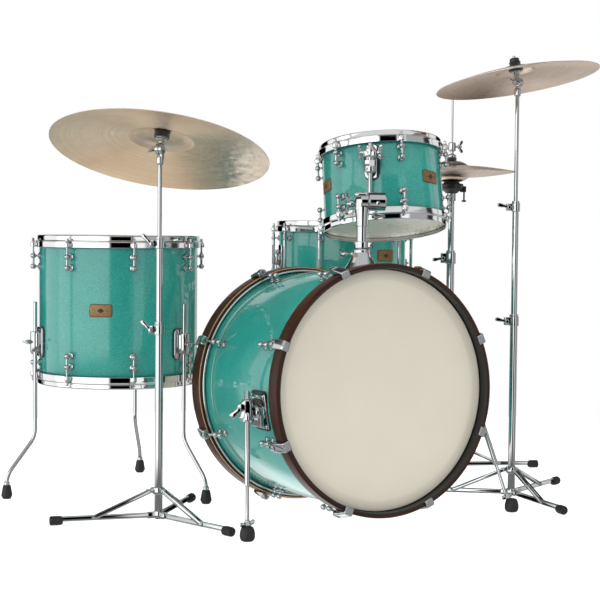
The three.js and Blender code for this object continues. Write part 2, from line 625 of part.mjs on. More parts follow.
function buildStand(stand) {
  const axis = frameAt(kit, vec(stand.at[0], stand.at[1], 0));
  const [lowTier, highTier] = stand.tiers;
  const clampAt = (z, radius) => [
    post(radius, z - STAND.clampHeight, z, 12),
    block([radius - 6, -7, z - STAND.clampHeight + 3], [radius + 11, 7, z - 3]).rotateZ(200 * DEG),
  ];
  const ears = stand.legs.flatMap((angle) =>
    hubEars(STAND.baseRadius).map((ear) => ear.translate(0, 0, TRIPOD.hubZ).rotateZ(angle * DEG)));
  const base = join(
    post(STAND.baseRadius, TRIPOD.hubZ - 6, lowTier - 4, 12), ...clampAt(lowTier, STAND.clampRadius), ...ears,
  );
  piece(axis, `${stand.name}_stand_base`, 'chrome', cut(base, post(STAND.baseBore, 60, lowTier + 5, 12)));

  const mid = join(
    post(STAND.midRadius, lowTier - STAND.overlap, highTier - 4, 12), ...clampAt(highTier, 13),
  );
  const midBore = post(STAND.midBore, lowTier - STAND.overlap + 20, highTier + 5, 12);
  piece(axis, `${stand.name}_mid_tube`, 'chrome', cut(mid, midBore));

  const tilt = frameAt(axis, vec(0, 0, stand.pivotZ), [0, 0, stand.towards * DEG]);
  const disc = (from, to) => rod(vec(0, from, 0), vec(0, to, 0), STAND.discRadius, 12);
  const rodLow = highTier - 200 - stand.pivotZ;
  piece(tilt, `${stand.name}_top_rod`, 'chrome', join(
    post(STAND.rodRadius, rodLow, -15, 10), post(8.5, -34, -15, 12),
    block([-6, -8, -24], [6, -1, -5]), disc(-STAND.discWidth, -GAP),
  ));

  const lean = frameAt(tilt, vec(0, 0, 0), [0, stand.lean * DEG, 0]);
  piece(lean, `${stand.name}_tilter`, 'chrome', join(
    disc(0, STAND.discWidth), block([-6, 0.5, 0], [6, STAND.discWidth - 1, 22]), post(4, 15, STAND.nutTop, 8),
    post(7, 14, STAND.seat, 12), post(14, STAND.seat - 3, STAND.seat, 14),
    post(9, STAND.nut, STAND.nutTop - 4, 12),
  ));
  const plate = frameAt(lean, vec(0, 0, STAND.cymbal));
  piece(plate, `${stand.name}_cymbal`, 'bronze', cymbal(stand));

  const collar = frameAt(axis, vec(0, 0, TRIPOD.hubZ + TRIPOD.collarUp));
  const tongues = stand.legs.map((angle) =>
    flatBar(roundEnded(11, TRIPOD.pivot, 5), TRIPOD.legWidth).rotateZ(angle * DEG));
  piece(collar, `${stand.name}_collar`, 'chrome', cut(
    join(post(TRIPOD.hubRadius, -8, 8, 12), ...tongues), post(clearBore(STAND.baseRadius, 12), -30, 30, 12),
  ));
  const drop = Math.atan2(TRIPOD.collarUp, TRIPOD.braceAt);
  stand.legs.forEach((angle, k) => {
    const leg = frameAt(axis, polar(angle, TRIPOD.pivot, TRIPOD.hubZ), [0, 0, angle * DEG]);
    piece(leg, `${stand.name}_leg_${k + 1}`, 'chrome', legShape());
    const brace = frameAt(collar, polar(angle, TRIPOD.pivot), [0, 0, angle * DEG]);
    piece(brace, `${stand.name}_brace_${k + 1}`, 'chrome', braceShape().rotate([0, drop / DEG, 0]));
  });
}

// ---------------------------------------------------------------- the kit
buildBass();
buildSpur(-1, 'spur_left');
buildSpur(1, 'spur_right');
buildHolder();
buildRack();
buildFloorTom();
buildSnare();
buildSnareStand();
buildHihat();
buildStand(RIDE);
buildStand(CRASH);

// The origin is the middle of the kit's footprint, on the floor.
const extent = new THREE.Box3().setFromObject(kit, true);
const middle = extent.getCenter(vec(0, 0, 0));
kit.position.set(-middle.x, -middle.y, -extent.min.z);
kit.updateMatrixWorld(true);

export default kit;
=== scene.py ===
"""Looks for the acoustic drum kit: shells, hardware, heads, cymbals, stands and the studio."""
import json
import math
from types import SimpleNamespace as Sizes

import bmesh
import bpy
from mathutils import Matrix, Vector


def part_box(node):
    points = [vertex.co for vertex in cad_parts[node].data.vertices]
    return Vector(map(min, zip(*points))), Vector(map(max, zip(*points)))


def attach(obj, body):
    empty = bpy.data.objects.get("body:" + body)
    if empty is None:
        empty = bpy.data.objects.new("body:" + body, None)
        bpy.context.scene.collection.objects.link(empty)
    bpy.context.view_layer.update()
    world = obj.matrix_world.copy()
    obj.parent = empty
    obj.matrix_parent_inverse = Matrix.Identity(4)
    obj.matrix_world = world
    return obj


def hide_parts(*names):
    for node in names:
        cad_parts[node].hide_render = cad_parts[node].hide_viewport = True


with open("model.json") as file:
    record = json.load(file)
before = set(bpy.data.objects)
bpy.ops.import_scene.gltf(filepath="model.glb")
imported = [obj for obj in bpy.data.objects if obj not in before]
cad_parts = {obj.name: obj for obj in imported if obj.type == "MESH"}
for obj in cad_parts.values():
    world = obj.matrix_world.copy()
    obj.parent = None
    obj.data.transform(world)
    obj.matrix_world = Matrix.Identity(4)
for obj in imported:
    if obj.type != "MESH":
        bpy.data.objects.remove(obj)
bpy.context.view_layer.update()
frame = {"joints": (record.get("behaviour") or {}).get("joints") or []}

# ---------------------------------------------------------------- driving dimensions, in millimetres
MM = 0.001
UP = Vector((0, 0, 1))

BASS = Sizes(name="bass", radius=279.4, wall=7, depth=381, lugs=8, phase=22.5, lug_z=120.5,
             hoop=295, bore=283, hoop_width=38, length=432)
RACK = Sizes(name="rack", radius=152.4, wall=6, depth=203, lugs=6, phase=15.1, lug_z=55.5)
FLOOR = Sizes(name="floor", radius=203.2, wall=6, depth=357, lugs=8, phase=32.2, lug_z=122.5)
SNARE = Sizes(name="snare", radius=177.8, wall=6, depth=165, lugs=10, phase=4, lug_z=56.5)
FILM = 0.4
LUG = Sizes(spread=13.5, reach=16, ball=7.2, tube=3.1, stem=2.9, base=8.4)
ROD = Sizes(radius=2.4, washer=5, collar=4.4, key=3.1)
HOOP = Sizes(skirt=-20, rise=10.5, lip=3, seat=6.8, wall=2.2)
FLOOR_LEG = Sizes(angles=(55.3, 175.3, 295.3), radius=5, reach=220, foot_reach=293, top=497, bend=154,
                  knee=58, foot=14.5, foot_height=35, low=356, high=434)
SPUR = Sizes(foot=(78, -94, -270), crossing=(31, 0, 0), tube=6.2, tip=4.2, above=50, plate_back=12,
             plate_turn=99.2, foot_radius=17, foot_height=34)
HOLDER = Sizes(post=12.5, post_low=505, base_top=641, block=22, left=-17, split=14.5, right=55,
               rod=5.25, across=25, depth=123, rod_top=899, bend=18)
BRACKET = Sizes(low=825, high=893)
STAND = Sizes(base=9.5, mid=7.9, rod=5, clamp=24, clamp_turn=150, seat=28, cymbal=41, nut=50, top=66,
              in_base=225, in_mid=200)
RIDE = Sizes(name="ride", tiers=(461, 660), radius=256, bell=77, bow=30, rise=18, leg_count=3, lever=-45)
CRASH = Sizes(name="crash", tiers=(467, 758), radius=208, bell=52, bow=25, rise=14, leg_count=3, lever=-12)
TRIPOD = Sizes(hub=14, pivot=19.5, leg=234, brace_at=132, brace_up=57, foot=11, foot_length=30, bar=(12, 6),
               in_boot=16, fork=4.7, fork_half=4.5, fork_plate=1.2)
HAT = Sizes(name="hihat", radius=178, bell=48, bow=15, rise=14, bottom=825, top=883, legs=(-22, 218),
            leg_length=249, pedal=98, base=11, upper=8.6, clamp_low=591, clamp_high=629, neck=780,
            seat_low=792, seat_top=821, clutch_low=899, clutch_top=937, rod=3, rod_low=330, rod_top=1087,
            screw_turn=-29.3, upper_low=392)
PEDAL = Sizes(run=243, rise=70, first_rib=60, rib_step=20, ribs=9)
SNARE_STAND = Sizes(legs=(90, 210, 330), base_top=330, base=12.7, post=10, post_low=150, arms=(22, 142, 262),
                    arm_reach=196, arm_z=504, arm_top=539, arm=5, leg_length=200)
STRAINER = Sizes(turn=166, butt=346)
WIRES = Sizes(count=20, pitch=2.1, half=128, coils=64, coil=0.75, wire=0.42)
BADGES = Sizes(rack=((288.6, 0), (168.5, 0)), floor=(234.9, 5), snare=(280.6, 0))
BADGE = Sizes(width=58, height=32, thick=1.6, strip=3.0)
CYMBAL_HOLE = 6.8
CAMERA = Sizes(place=(-1.9259, -3.2364, 0.686), yaw=29.826, pitch=2.784, roll=0.516, lens=87.36)
STUDIO_FLOOR = Sizes(radius=1.75, drop=-0.0006)
# the studio's walls in mirrors: where each panel ends, in degrees from behind the camera, and its shade
PANELS = ((-166, 0.2), (-154, 0.3), (-122, 0.0), (-88, 0.5), (-66, 0.86), (-62, 0.1), (-6, 0.86), (28, 0.0),
          (44, 0.5), (84, 0.2), (99, 0.02), (130, 0.4), (156, 0.0), (168, 0.3), (180, 0.2))
JOINTS = {joint["name"]: joint for joint in frame["joints"]}


# ---------------------------------------------------------------- node helpers
def feed(tree, socket, value):
    """Links a socket to another node's output, or sets its value."""
    if isinstance(value, bpy.types.NodeSocket):
        tree.links.new(value, socket)
    else:
        socket.default_value = value


def node(tree, kind, inputs=None, **settings):
    made = tree.nodes.new("ShaderNode" + kind)
    for key, value in settings.items():
        setattr(made, key, value)
    for key, value in (inputs or {}).items():
        feed(tree, made.inputs[key], value)
    return made


def maths(tree, operation, first, second=0.0):
    return node(tree, "Math", {0: first, 1: second}, operation=operation).outputs[0]


def ramp(tree, factor, stops):
    made = node(tree, "ValToRGB", {"Fac": factor})
    elements = made.color_ramp.elements
    while len(elements) < len(stops):
        elements.new(0.5)
    for element, (position, colour) in zip(elements, stops):
        element.position = position
        element.color = colour
    return made.outputs["Color"]


def grey_ramp(tree, factor, stops):
    return ramp(tree, factor, [(position, (value, value, value, 1)) for position, value in stops])


def mixed(tree, factor, first, second, blend="MIX"):
    made = node(tree, "Mix", data_type="RGBA", blend_type=blend)
    feed(tree, made.inputs[0], factor)
    feed(tree, made.inputs[6], first)
    feed(tree, made.inputs[7], second)
    return made.outputs[2]


def noise(tree, vector, scale, detail=3.0, roughness=0.5):
    made = node(tree, "TexNoise", {
        "Vector": vector, "Scale": scale, "Detail": detail, "Roughness": roughness})
    return made.outputs["Fac"]


def line_noise(tree, value, scale, detail):
    """Noise that varies along one value only."""
    made = node(tree, "TexNoise", {
        "W": maths(tree, "MULTIPLY", value, scale), "Scale": 1.0, "Detail": detail}, noise_dimensions="1D")
    return made.outputs["Fac"]


def polar(tree, place):
    """The X, Y and Z of a place, and its distance from the Z axis."""
    x, y, z = node(tree, "SeparateXYZ", {"Vector": place}).outputs
    squares = maths(tree, "ADD", maths(tree, "MULTIPLY", x, x), maths(tree, "MULTIPLY", y, y))
    return x, y, z, maths(tree, "SQRT", squares)


def bump(tree, height, distance, strength=1.0):
    made = node(tree, "Bump", {"Height": height, "Distance": distance, "Strength": strength})
    return made.outputs["Normal"]


def rgb(red, green, blue):
    """A linear colour from an sRGB one, each channel from 0 to 255."""
    channels = [value / 255 for value in (red, green, blue)]
    linear = [c / 12.92 if c <= 0.04045 else ((c + 0.055) / 1.055) ** 2.4 for c in channels]
    return (*linear, 1.0)


def new_material(name, **shader_inputs):
    """A material with a Principled shader, its tree and the object coordinates."""
    material = bpy.data.materials.new(name)
    material.use_nodes = True
    tree = material.node_tree
    shader = tree.nodes["Principled BSDF"]
    for key, value in shader_inputs.items():
        shader.inputs[key.replace("_", " ")].default_value = value
    place = node(tree, "TexCoord").outputs["Object"]
    return material, tree, shader, place


def wire(tree, shader, **sockets):
    for key, value in sockets.items():
        tree.links.new(value, shader.inputs[key.replace("_", " ")])


# ---------------------------------------------------------------- materials
def lacquer():
    """Turquoise sparkle lacquer: small flakes of several tones under a clear glossy coat."""
    made, tree, shader, place = new_material(
        "shell_lacquer", Coat_Weight=1.0, Coat_Roughness=0.015, Coat_IOR=1.5)
    flakes = node(tree, "TexVoronoi", {"Vector": place, "Scale": 1300.0})
    pick = node(tree, "SeparateColor", {"Color": flakes.outputs["Color"]})
    tones = ramp(tree, pick.outputs[0], [
        (0.0, rgb(0, 118, 106)), (0.35, rgb(8, 140, 128)), (0.75, rgb(30, 158, 147)),
        (1.0, rgb(74, 180, 168))])
    cloud = noise(tree, place, 26.0, 4.0)
    deep = mixed(tree, grey_ramp(tree, cloud, [(0.35, 0.0), (0.7, 0.16)]), tones, rgb(52, 178, 166))
    rough = grey_ramp(tree, pick.outputs[1], [(0.0, 0.3), (1.0, 0.5)])
    tilt = bump(tree, pick.outputs[2], 0.0001, 0.35)
    wire(tree, shader, Base_Color=deep, Roughness=rough, Normal=tilt)
    return made


def hoop_wood():
    """Dark brown wood with fine grain that runs round the hoop, under satin lacquer."""
    made, tree, shader, place = new_material(
        "hoop_wood", Coat_Weight=0.06, Coat_Roughness=0.2, Specular_IOR_Level=0.18)
    x, y, z, radius = polar(tree, place)
    along = node(tree, "CombineXYZ", {
        "X": maths(tree, "MULTIPLY", radius, 420.0), "Y": maths(tree, "MULTIPLY", z, 420.0),
        "Z": maths(tree, "MULTIPLY", x, 7.0)})
    grain = node(tree, "TexNoise", {
        "Vector": along.outputs[0], "W": maths(tree, "MULTIPLY", y, 7.0), "Scale": 1.0, "Detail": 5.0,
        "Roughness": 0.62}, noise_dimensions="4D").outputs["Fac"]
    colour = ramp(tree, grain, [
        (0.25, rgb(22, 9, 3)), (0.45, rgb(44, 20, 9)), (0.6, rgb(68, 33, 16)),
        (0.8, rgb(94, 52, 28))])
    rough = grey_ramp(tree, grain, [(0.2, 0.42), (0.8, 0.28)])
    wire(tree, shader, Base_Color=colour, Roughness=rough, Normal=bump(tree, grain, 0.00012, 0.5))
    return made


def chrome(name, roughness, dark, light):
    """Polished chrome with faint wipe marks and tiny pits."""
    made, tree, shader, place = new_material(name, Metallic=1.0)
    haze = noise(tree, place, 38.0, 5.0, 0.65)
    fine = noise(tree, place, 900.0, 2.0)
    tint = mixed(tree, haze, dark, light)
    rough = grey_ramp(tree, haze, [(0.3, roughness), (0.75, roughness + 0.03)])
    wire(tree, shader, Base_Color=tint, Roughness=rough, Normal=bump(tree, fine, 0.00001, 0.15))
    return made


def coated_head():
    """Off-white coated film: a fine sprayed grain with soft clouds of thickness."""
    made, tree, shader, place = new_material("drumhead_coated", Specular_IOR_Level=0.35)
    cloud = noise(tree, place, 9.0, 4.0)
    speck = noise(tree, place, 1500.0, 2.0)
    tint = mixed(tree, cloud, rgb(208, 202, 185), rgb(216, 211, 195))
    tint = mixed(tree, grey_ramp(tree, speck, [(0.35, 0.0), (0.75, 0.18)]), tint, rgb(178, 171, 153))
    rough = grey_ramp(tree, speck, [(0.3, 0.5), (0.7, 0.66)])
    wire(tree, shader, Base_Color=tint, Roughness=rough, Normal=bump(tree, speck, 0.00008, 0.5))
    return made


def clear_head():
    """Hazy resonant film: greyish, smooth and shiny enough to mirror what lies below it."""
    made, tree, shader, place = new_material(
        "drumhead_film", Coat_Weight=0.25, Coat_Roughness=0.04, Coat_IOR=1.5)
    cloud = noise(tree, place, 14.0, 3.0)
    tint = mixed(tree, cloud, rgb(206, 196, 181), rgb(222, 213, 199))
    rough = grey_ramp(tree, cloud, [(0.3, 0.22), (0.7, 0.34)])
    wire(tree, shader, Base_Color=tint, Roughness=rough, Normal=bump(tree, cloud, 0.0004, 0.15))
    return made


def bronze():
    """Lathed and hammered bronze: tight rings about the axis, shallow hammer marks and warm clouds."""
    made, tree, shader, place = new_material("cymbal_bronze", Metallic=1.0, Anisotropic=0.82)
    _, _, _, radius = polar(tree, place)
    rings = line_noise(tree, radius, 1400.0, 3.0)
    wide = line_noise(tree, radius, 120.0, 2.0)
    marks = node(tree, "TexVoronoi", {"Vector": place, "Scale": 46.0, "Randomness": 0.9},
                 feature="SMOOTH_F1")
    cloud = noise(tree, place, 7.0, 5.0, 0.6)
    warm = ramp(tree, cloud, [
        (0.25, rgb(222, 198, 175)), (0.5, rgb(234, 215, 197)), (0.75, rgb(244, 230, 216))])
    warm = mixed(tree, grey_ramp(tree, wide, [(0.35, 0.35), (0.65, 0.0)]), warm, rgb(214, 190, 167))
    warm = mixed(tree, grey_ramp(tree, rings, [(0.3, 0.25), (0.6, 0.0)]), warm, rgb(196, 170, 146))
    rough = grey_ramp(tree, cloud, [(0.3, 0.34), (0.7, 0.26)])
    dents = bump(tree, marks.outputs["Distance"], 0.0035, 0.25)
    grooves = node(tree, "Bump", {"Height": rings, "Distance": 0.00006, "Strength": 0.6, "Normal": dents})
    around = node(tree, "Tangent", direction_type="RADIAL", axis="Z")
    wire(tree, shader, Base_Color=warm, Roughness=rough, Normal=grooves.outputs["Normal"],
         Tangent=around.outputs["Tangent"])
    return made


def moulded(name, dark, light, low, high, scale, depth):
    """Moulded rubber, plastic or pressed felt: two close tones and a fine raised grain."""
    made, tree, shader, place = new_material(name)
    grain = noise(tree, place, scale, 4.0, 0.6)
    tint = mixed(tree, grain, dark, light)
    rough = grey_ramp(tree, grain, [(0.3, low), (0.7, high)])
    wire(tree, shader, Base_Color=tint, Roughness=rough, Normal=bump(tree, grain, depth, 0.6))
    return made


def felt():
    """Black pressed felt with a soft sheen."""
    made = moulded("felt", rgb(16, 16, 16), rgb(44, 42, 41), 0.9, 1.0, 700.0, 0.0006)
    made.node_tree.nodes["Principled BSDF"].inputs["Sheen Weight"].default_value = 0.6
    return made


def badge_metal():
    """Antique bronze with dark patina in its hollows."""
    made, tree, shader, place = new_material("badge_metal", Metallic=0.7)
    patina = noise(tree, place, 420.0, 5.0, 0.7)
    tint = ramp(tree, patina, [
        (0.3, rgb(96, 72, 44)), (0.55, rgb(150, 120, 80)), (0.8, rgb(182, 152, 108))])
    rough = grey_ramp(tree, patina, [(0.3, 0.6), (0.7, 0.4)])
    wire(tree, shader, Base_Color=tint, Roughness=rough, Normal=bump(tree, patina, 0.0001, 0.6))
    return made


def shell_ply():
    """Bare plywood inside the shells."""
    made, tree, shader, place = new_material("shell_ply")
    stretched = node(tree, "Mapping", {"Vector": place, "Scale": (60.0, 60.0, 5.0)}).outputs[0]
    grain = noise(tree, stretched, 2.0, 5.0, 0.6)
    tint = mixed(tree, grain, rgb(176, 132, 84), rgb(214, 178, 128))
    rough = grey_ramp(tree, grain, [(0.3, 0.6), (0.7, 0.75)])
    wire(tree, shader, Base_Color=tint, Roughness=rough, Normal=bump(tree, grain, 0.0002, 0.4))
    return made


MATERIAL = {
    "shell_lacquer": lacquer(),
    "hoop_wood": hoop_wood(),
    "hoop_chrome": chrome("hoop_chrome", 0.03, rgb(206, 208, 209), rgb(222, 222, 221)),
    "chrome_hardware": chrome("chrome_hardware", 0.04, rgb(174, 178, 180), rgb(192, 193, 193)),
    "drumhead": coated_head(),
    "film": clear_head(),
    "cymbal_bronze": bronze(),
    "rubber": moulded("rubber", rgb(14, 14, 14), rgb(34, 34, 34), 0.45, 0.7, 900.0, 0.0001),
    "black_plastic": moulded("black_plastic", rgb(12, 12, 12), rgb(26, 26, 26), 0.28, 0.4, 1400.0, 0.00003),
    "felt": felt(),
    "badge_metal": badge_metal(),
    "enamel": moulded("badge_enamel", rgb(40, 28, 18), rgb(66, 48, 30), 0.5, 0.7, 600.0, 0.00005),
    "ply": shell_ply(),
}


# ---------------------------------------------------------------- shape helpers
class Shape:
    """Vertices and faces in millimetres, gathered from simple closed forms."""

    def __init__(self):
        self.verts, self.faces, self.slots = [], [], []
        self.slot = 0

    def add(self, verts, faces, matrix):
        start = len(self.verts)
        self.verts += [matrix @ Vector(vert) for vert in verts]
        self.faces += [[start + index for index in face] for face in faces]
        self.slots += [self.slot] * len(faces)

    def rings(self, loops, matrix, closed=False, caps=True):
        """Joins loops of equal length into a skin. closed joins the last loop to the first."""
        count = len(loops[0])
        faces = []
        pairs = len(loops) if closed else len(loops) - 1
        for row in range(pairs):
            a, b = row * count, ((row + 1) % len(loops)) * count
            for k in range(count):
                n = (k + 1) % count
                faces.append([a + k, a + n, b + n, b + k])
        if caps and not closed:
            faces.append(list(range(count))[::-1])
            faces.append([(len(loops) - 1) * count + k for k in range(count)])
        self.add([vert for loop in loops for vert in loop], faces, matrix)


IDENTITY = Matrix()


def shift(x, y, z):
    return Matrix.Translation((x, y, z))


def spin(degrees, axis="Z"):
    return Matrix.Rotation(math.radians(degrees), 4, axis)


def aim(start, end):
    """A frame at start whose Z points to end."""
    start, end = Vector(start), Vector(end)
    turn = UP.rotation_difference(end - start)
    return Matrix.Translation(start) @ turn.to_matrix().to_4x4()


def softened(points, radius, closed=True, steps=3):
    """An outline with its corners rounded."""
    points = [Vector(point) for point in points]
    count = len(points)
    made = []
    for index, corner in enumerate(points):
        if not closed and index in (0, count - 1):
            made.append(corner)
            continue
        before, after = points[index - 1], points[(index + 1) % count]
        reach_in = min(radius, (before - corner).length * 0.45)
        reach_out = min(radius, (after - corner).length * 0.45)
        first = corner + (before - corner).normalized() * reach_in
        last = corner + (after - corner).normalized() * reach_out
        for step in range(steps + 1):
            t = step / steps
            made.append(first * (1 - t) ** 2 + corner * 2 * t * (1 - t) + last * t ** 2)
    return made


def lathe(shape, profile, matrix=IDENTITY, segments=32):
    """A turned form about Z. A profile that starts on the axis ends on it; others close on themselves."""
    on_axis = profile[0][0] < 1e-6
    body = [point for point in profile if point[0] > 1e-6]
    count = segments
    verts, faces = [], []
    for radius, z in body:
        for k in range(count):
            angle = 2 * math.pi * k / count
            verts.append((radius * math.cos(angle), radius * math.sin(angle), z))
    rows = len(body)
    for row in range(rows if not on_axis else rows - 1):
        a, b = row * count, ((row + 1) % rows) * count
        for k in range(count):
            n = (k + 1) % count
            faces.append([a + k, a + n, b + n, b + k])
    if on_axis:
        verts += [(0, 0, profile[0][1]), (0, 0, profile[-1][1])]
        first, last = rows * count, rows * count + 1
        for k in range(count):
            n = (k + 1) % count
            faces.append([first, n, k])
            faces.append([last, (rows - 1) * count + k, (rows - 1) * count + n])
    shape.add(verts, faces, matrix)


def turned(shape, corners, matrix=IDENTITY, segments=32, soft=1.0, steps=3):
    """A lathe with rounded corners."""
    on_axis = corners[0][0] < 1e-6
    lathe(shape, softened([(r, z) for r, z in corners], soft, not on_axis, steps), matrix, segments)


def drum_post(shape, radius, low, high, matrix=IDENTITY, segments=20, edge=0.6, steps=2):
    """A round bar along Z with rounded rims."""
    turned(shape, [(0, low), (radius, low), (radius, high), (0, high)], matrix, segments, edge, steps)


def pipe(shape, outer, bore, low, high, matrix=IDENTITY, segments=28, edge=0.6, steps=2):
    """A tube along Z with rounded rims."""
    turned(shape, [(bore, low), (outer, low), (outer, high), (bore, high)], matrix, segments, edge, steps)


def ball(shape, radius, matrix, segments=16, rows=10):
    profile = [(radius * math.sin(math.pi * k / rows), -radius * math.cos(math.pi * k / rows))
               for k in range(rows + 1)]
    profile[0], profile[-1] = (0, -radius), (0, radius)
    lathe(shape, profile, matrix, segments)


def bar(shape, start, end, radius, matrix=IDENTITY, segments=14, edge=0.5):
    length = (Vector(end) - Vector(start)).length
    drum_post(shape, radius, 0, length, matrix @ aim(start, end), segments, edge)


def inset(outline, amount):
    """An outline moved inwards along its corners' normals. It runs counter-clockwise."""
    moved = []
    count = len(outline)
    for index, point in enumerate(outline):
        into = (point - outline[index - 1]).normalized()
        out = (outline[(index + 1) % count] - point).normalized()
        normal = Vector((-(into.y + out.y), into.x + out.x))
        if normal.length < 1e-6:
            normal = Vector((-into.y, into.x))
        moved.append(point + normal.normalized() * amount)
    return moved


def prism(shape, outline, low, high, matrix=IDENTITY, edge=0.8, steps=2):
    """An outline in the XY plane, drawn up from low to high with rounded rims."""
    flat = [Vector(point) for point in outline]
    area = sum(p.x * q.y - q.x * p.y for p, q in zip(flat, flat[1:] + flat[:1]))
    flat = flat if area > 0 else flat[::-1]
    loops = []
    for z, way in ((low, 1), (high, -1)):
        turns = range(steps + 1) if way == 1 else range(steps, -1, -1)
        for step in turns:
            angle = math.pi / 2 * step / steps
            loop = inset(flat, edge * (1 - math.sin(angle)))
            height = z + way * edge * (1 - math.cos(angle))
            loops.append([(point.x, point.y, height) for point in loop])
    shape.rings(loops, matrix)


def rounded_rect(width, height, radius, steps=4, centre=(0, 0)):
    x, y = width / 2, height / 2
    corners = [(-x, -y), (x, -y), (x, y), (-x, y)]
    return [point + Vector(centre) for point in softened(corners, radius * 1.4, True, steps)]


def block(shape, low, high, matrix=IDENTITY, edge=1.0, corner=2.0):
    """A box with rounded edges."""
    centre = ((low[0] + high[0]) / 2, (low[1] + high[1]) / 2)
    outline = rounded_rect(high[0] - low[0], high[1] - low[1], corner, 3, centre)
    prism(shape, outline, low[2], high[2], matrix, edge)


def sweep(shape, path, radius, matrix=IDENTITY, segments=14, end=0.6):
    """A round bar along a smooth list of points, with slightly rounded ends."""
    points = [Vector(point) for point in path]
    tangents = []
    for index in range(len(points)):
        ahead = points[min(index + 1, len(points) - 1)]
        behind = points[max(index - 1, 0)]
        tangents.append((ahead - behind).normalized())
    normal = tangents[0].orthogonal().normalized()
    loops = []
    for index, (point, tangent) in enumerate(zip(points, tangents)):
        normal = (normal - tangent * normal.dot(tangent)).normalized()
        side = tangent.cross(normal)
        size = radius(index / (len(points) - 1)) if callable(radius) else radius
        ring = [point + normal * size * math.cos(turn) + side * size * math.sin(turn)
                for turn in (2 * math.pi * k / segments for k in range(segments))]
        if index == 0:
            loops.append([point + (vert - point) * 0.7 for vert in ring])
            ring = [vert + tangent * end for vert in ring]
        if index == len(points) - 1:
            loops.append([vert - tangent * end for vert in ring])
            ring = [point + (vert - point) * 0.7 for vert in ring]
        loops.append(ring)
    shape.rings(loops, matrix)


def bent(points, bend, steps=6):
    """Straight stretches joined by rounded corners."""
    return softened([Vector(point) for point in points], bend, False, steps)


def piece(name, body, shape, materials, place=IDENTITY, replaces=(), sharp=38):
    """A visible piece that rides on a CAD body. place is its frame, in metres."""
    materials = [materials] if isinstance(materials, str) else materials
    mesh = bpy.data.meshes.new(name)
    mesh.from_pydata([vert * MM for vert in shape.verts], [], shape.faces)
    for key in materials:
        mesh.materials.append(MATERIAL[key])
    mesh.polygons.foreach_set("material_index", shape.slots)
    tidy = bmesh.new()
    tidy.from_mesh(mesh)
    bmesh.ops.remove_doubles(tidy, verts=tidy.verts, dist=1e-7)
    bmesh.ops.recalc_face_normals(tidy, faces=tidy.faces)
    tidy.to_mesh(mesh)
    tidy.free()
    mesh.polygons.foreach_set("use_smooth", [True] * len(mesh.polygons))
    mesh.set_sharp_from_angle(angle=math.radians(sharp))
    made = bpy.data.objects.new(name, mesh)
    bpy.context.scene.collection.objects.link(made)
    made.matrix_world = place
    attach(made, body)
    if replaces:
        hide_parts(*replaces)
    return made


def centre_of(name):
    """The middle of a CAD node's box."""
    low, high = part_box(name)
    return (low + high) / 2


def drum_frame(upper, lower):
    """A drum's frame: its centre, with Z along its axis."""
    high, low = centre_of(upper), centre_of(lower)
    turn = UP.rotation_difference(high - low)
    return Matrix.Translation((high + low) / 2) @ turn.to_matrix().to_4x4()


def hinge(name):
    """A joint's place, in metres."""
    return Vector(JOINTS[name]["pos_m"])


def heading(vector):
    """A vector's direction about Z, in degrees from X."""
    return math.degrees(math.atan2(vector.y, vector.x))


# ---------------------------------------------------------------- small hardware
def wing_bolt(shape, matrix, stem=10, span=36, thick=3.2):
    """A wing bolt along Z: threaded stem, hub and two rounded wings."""
    drum_post(shape, 2.8, -6, stem + 4, matrix, 12, 0.4)
    hub = [(0, 0), (5.4, 0), (6.0, 3), (5.2, 9), (2.6, 12), (0, 12)]
    turned(shape, [(radius, stem + z) for radius, z in hub], matrix, 18, 1.2)
    reach = span / 2
    for side in (1, -1):
        outline = [(3, stem + 1.5), (reach * 0.55, stem + 4), (reach * 0.95, stem + 7.5), (reach, stem + 13),
                   (reach * 0.8, stem + 16.5), (reach * 0.5, stem + 14), (reach * 0.28, stem + 10),
                   (3, stem + 9)]
        rim = softened([(x * side, z) for x, z in outline], 4.0, True, 3)
        prism(shape, rim, -thick / 2, thick / 2, matrix @ spin(90, "X"), 1.1)


def thumb_lever(shape, matrix, reach=30):
    """A one-sided thumb screw along Z: hub, washer and a flared blade that points along X."""
    drum_post(shape, 2.8, -10, 4, matrix, 12, 0.4)
    turned(shape, [(0, 0), (6.4, 0), (6.4, 1.6), (5.6, 2.4), (5.6, 9), (4, 11), (0, 11)], matrix, 22, 0.9)
    blade = [(0, -4.4), (reach * 0.45, -3.6), (reach * 0.8, -5.6), (reach, -4.2), (reach + 1.5, 0),
             (reach, 4.2), (reach * 0.8, 5.6), (reach * 0.45, 3.6), (0, 4.4)]
    prism(shape, softened(blade, 3.5, True, 4), 3.2, 8.2, matrix, 1.8, 3)


def square_bolt(shape, matrix, stem=6):
    """A drum-key bolt along Z: round washer and square head."""
    drum_post(shape, 5.0, 0, 1.4, matrix, 16, 0.4)
    drum_post(shape, 3.9, 1.2, 3.4, matrix, 16, 0.4)
    block(shape, (-2.9, -2.9, 3.2), (2.9, 2.9, 3.2 + stem), matrix, 0.5, 0.6)


def tube_clamp(shape, radius, low, high, turn, blade=0):
    """A collar round a tube with two ears, a hex nut and a thumb lever through them."""
    pipe(shape, radius, radius * 0.6, low, high, IDENTITY, 32, 1.6, 4)
    middle = (low + high) / 2
    side = spin(turn)
    for low_y in (0.8, -7.0):
        block(shape, (radius * 0.55, low_y, low + 2), (radius + 13, low_y + 6.2, high - 2), side, 1.4, 3)
    thumb_lever(shape, side @ shift(radius + 7, 7, middle) @ spin(-90, "X") @ spin(blade))
    drum_post(shape, 5, 7, 11, side @ shift(radius + 7, 0, middle) @ spin(90, "X"), 6, 0.6)


# ---------------------------------------------------------------- drums
def lug_turns(drum):
    """The angles of a drum's lugs, in degrees."""
    return [drum.phase + 360 * k / drum.lugs for k in range(drum.lugs)]


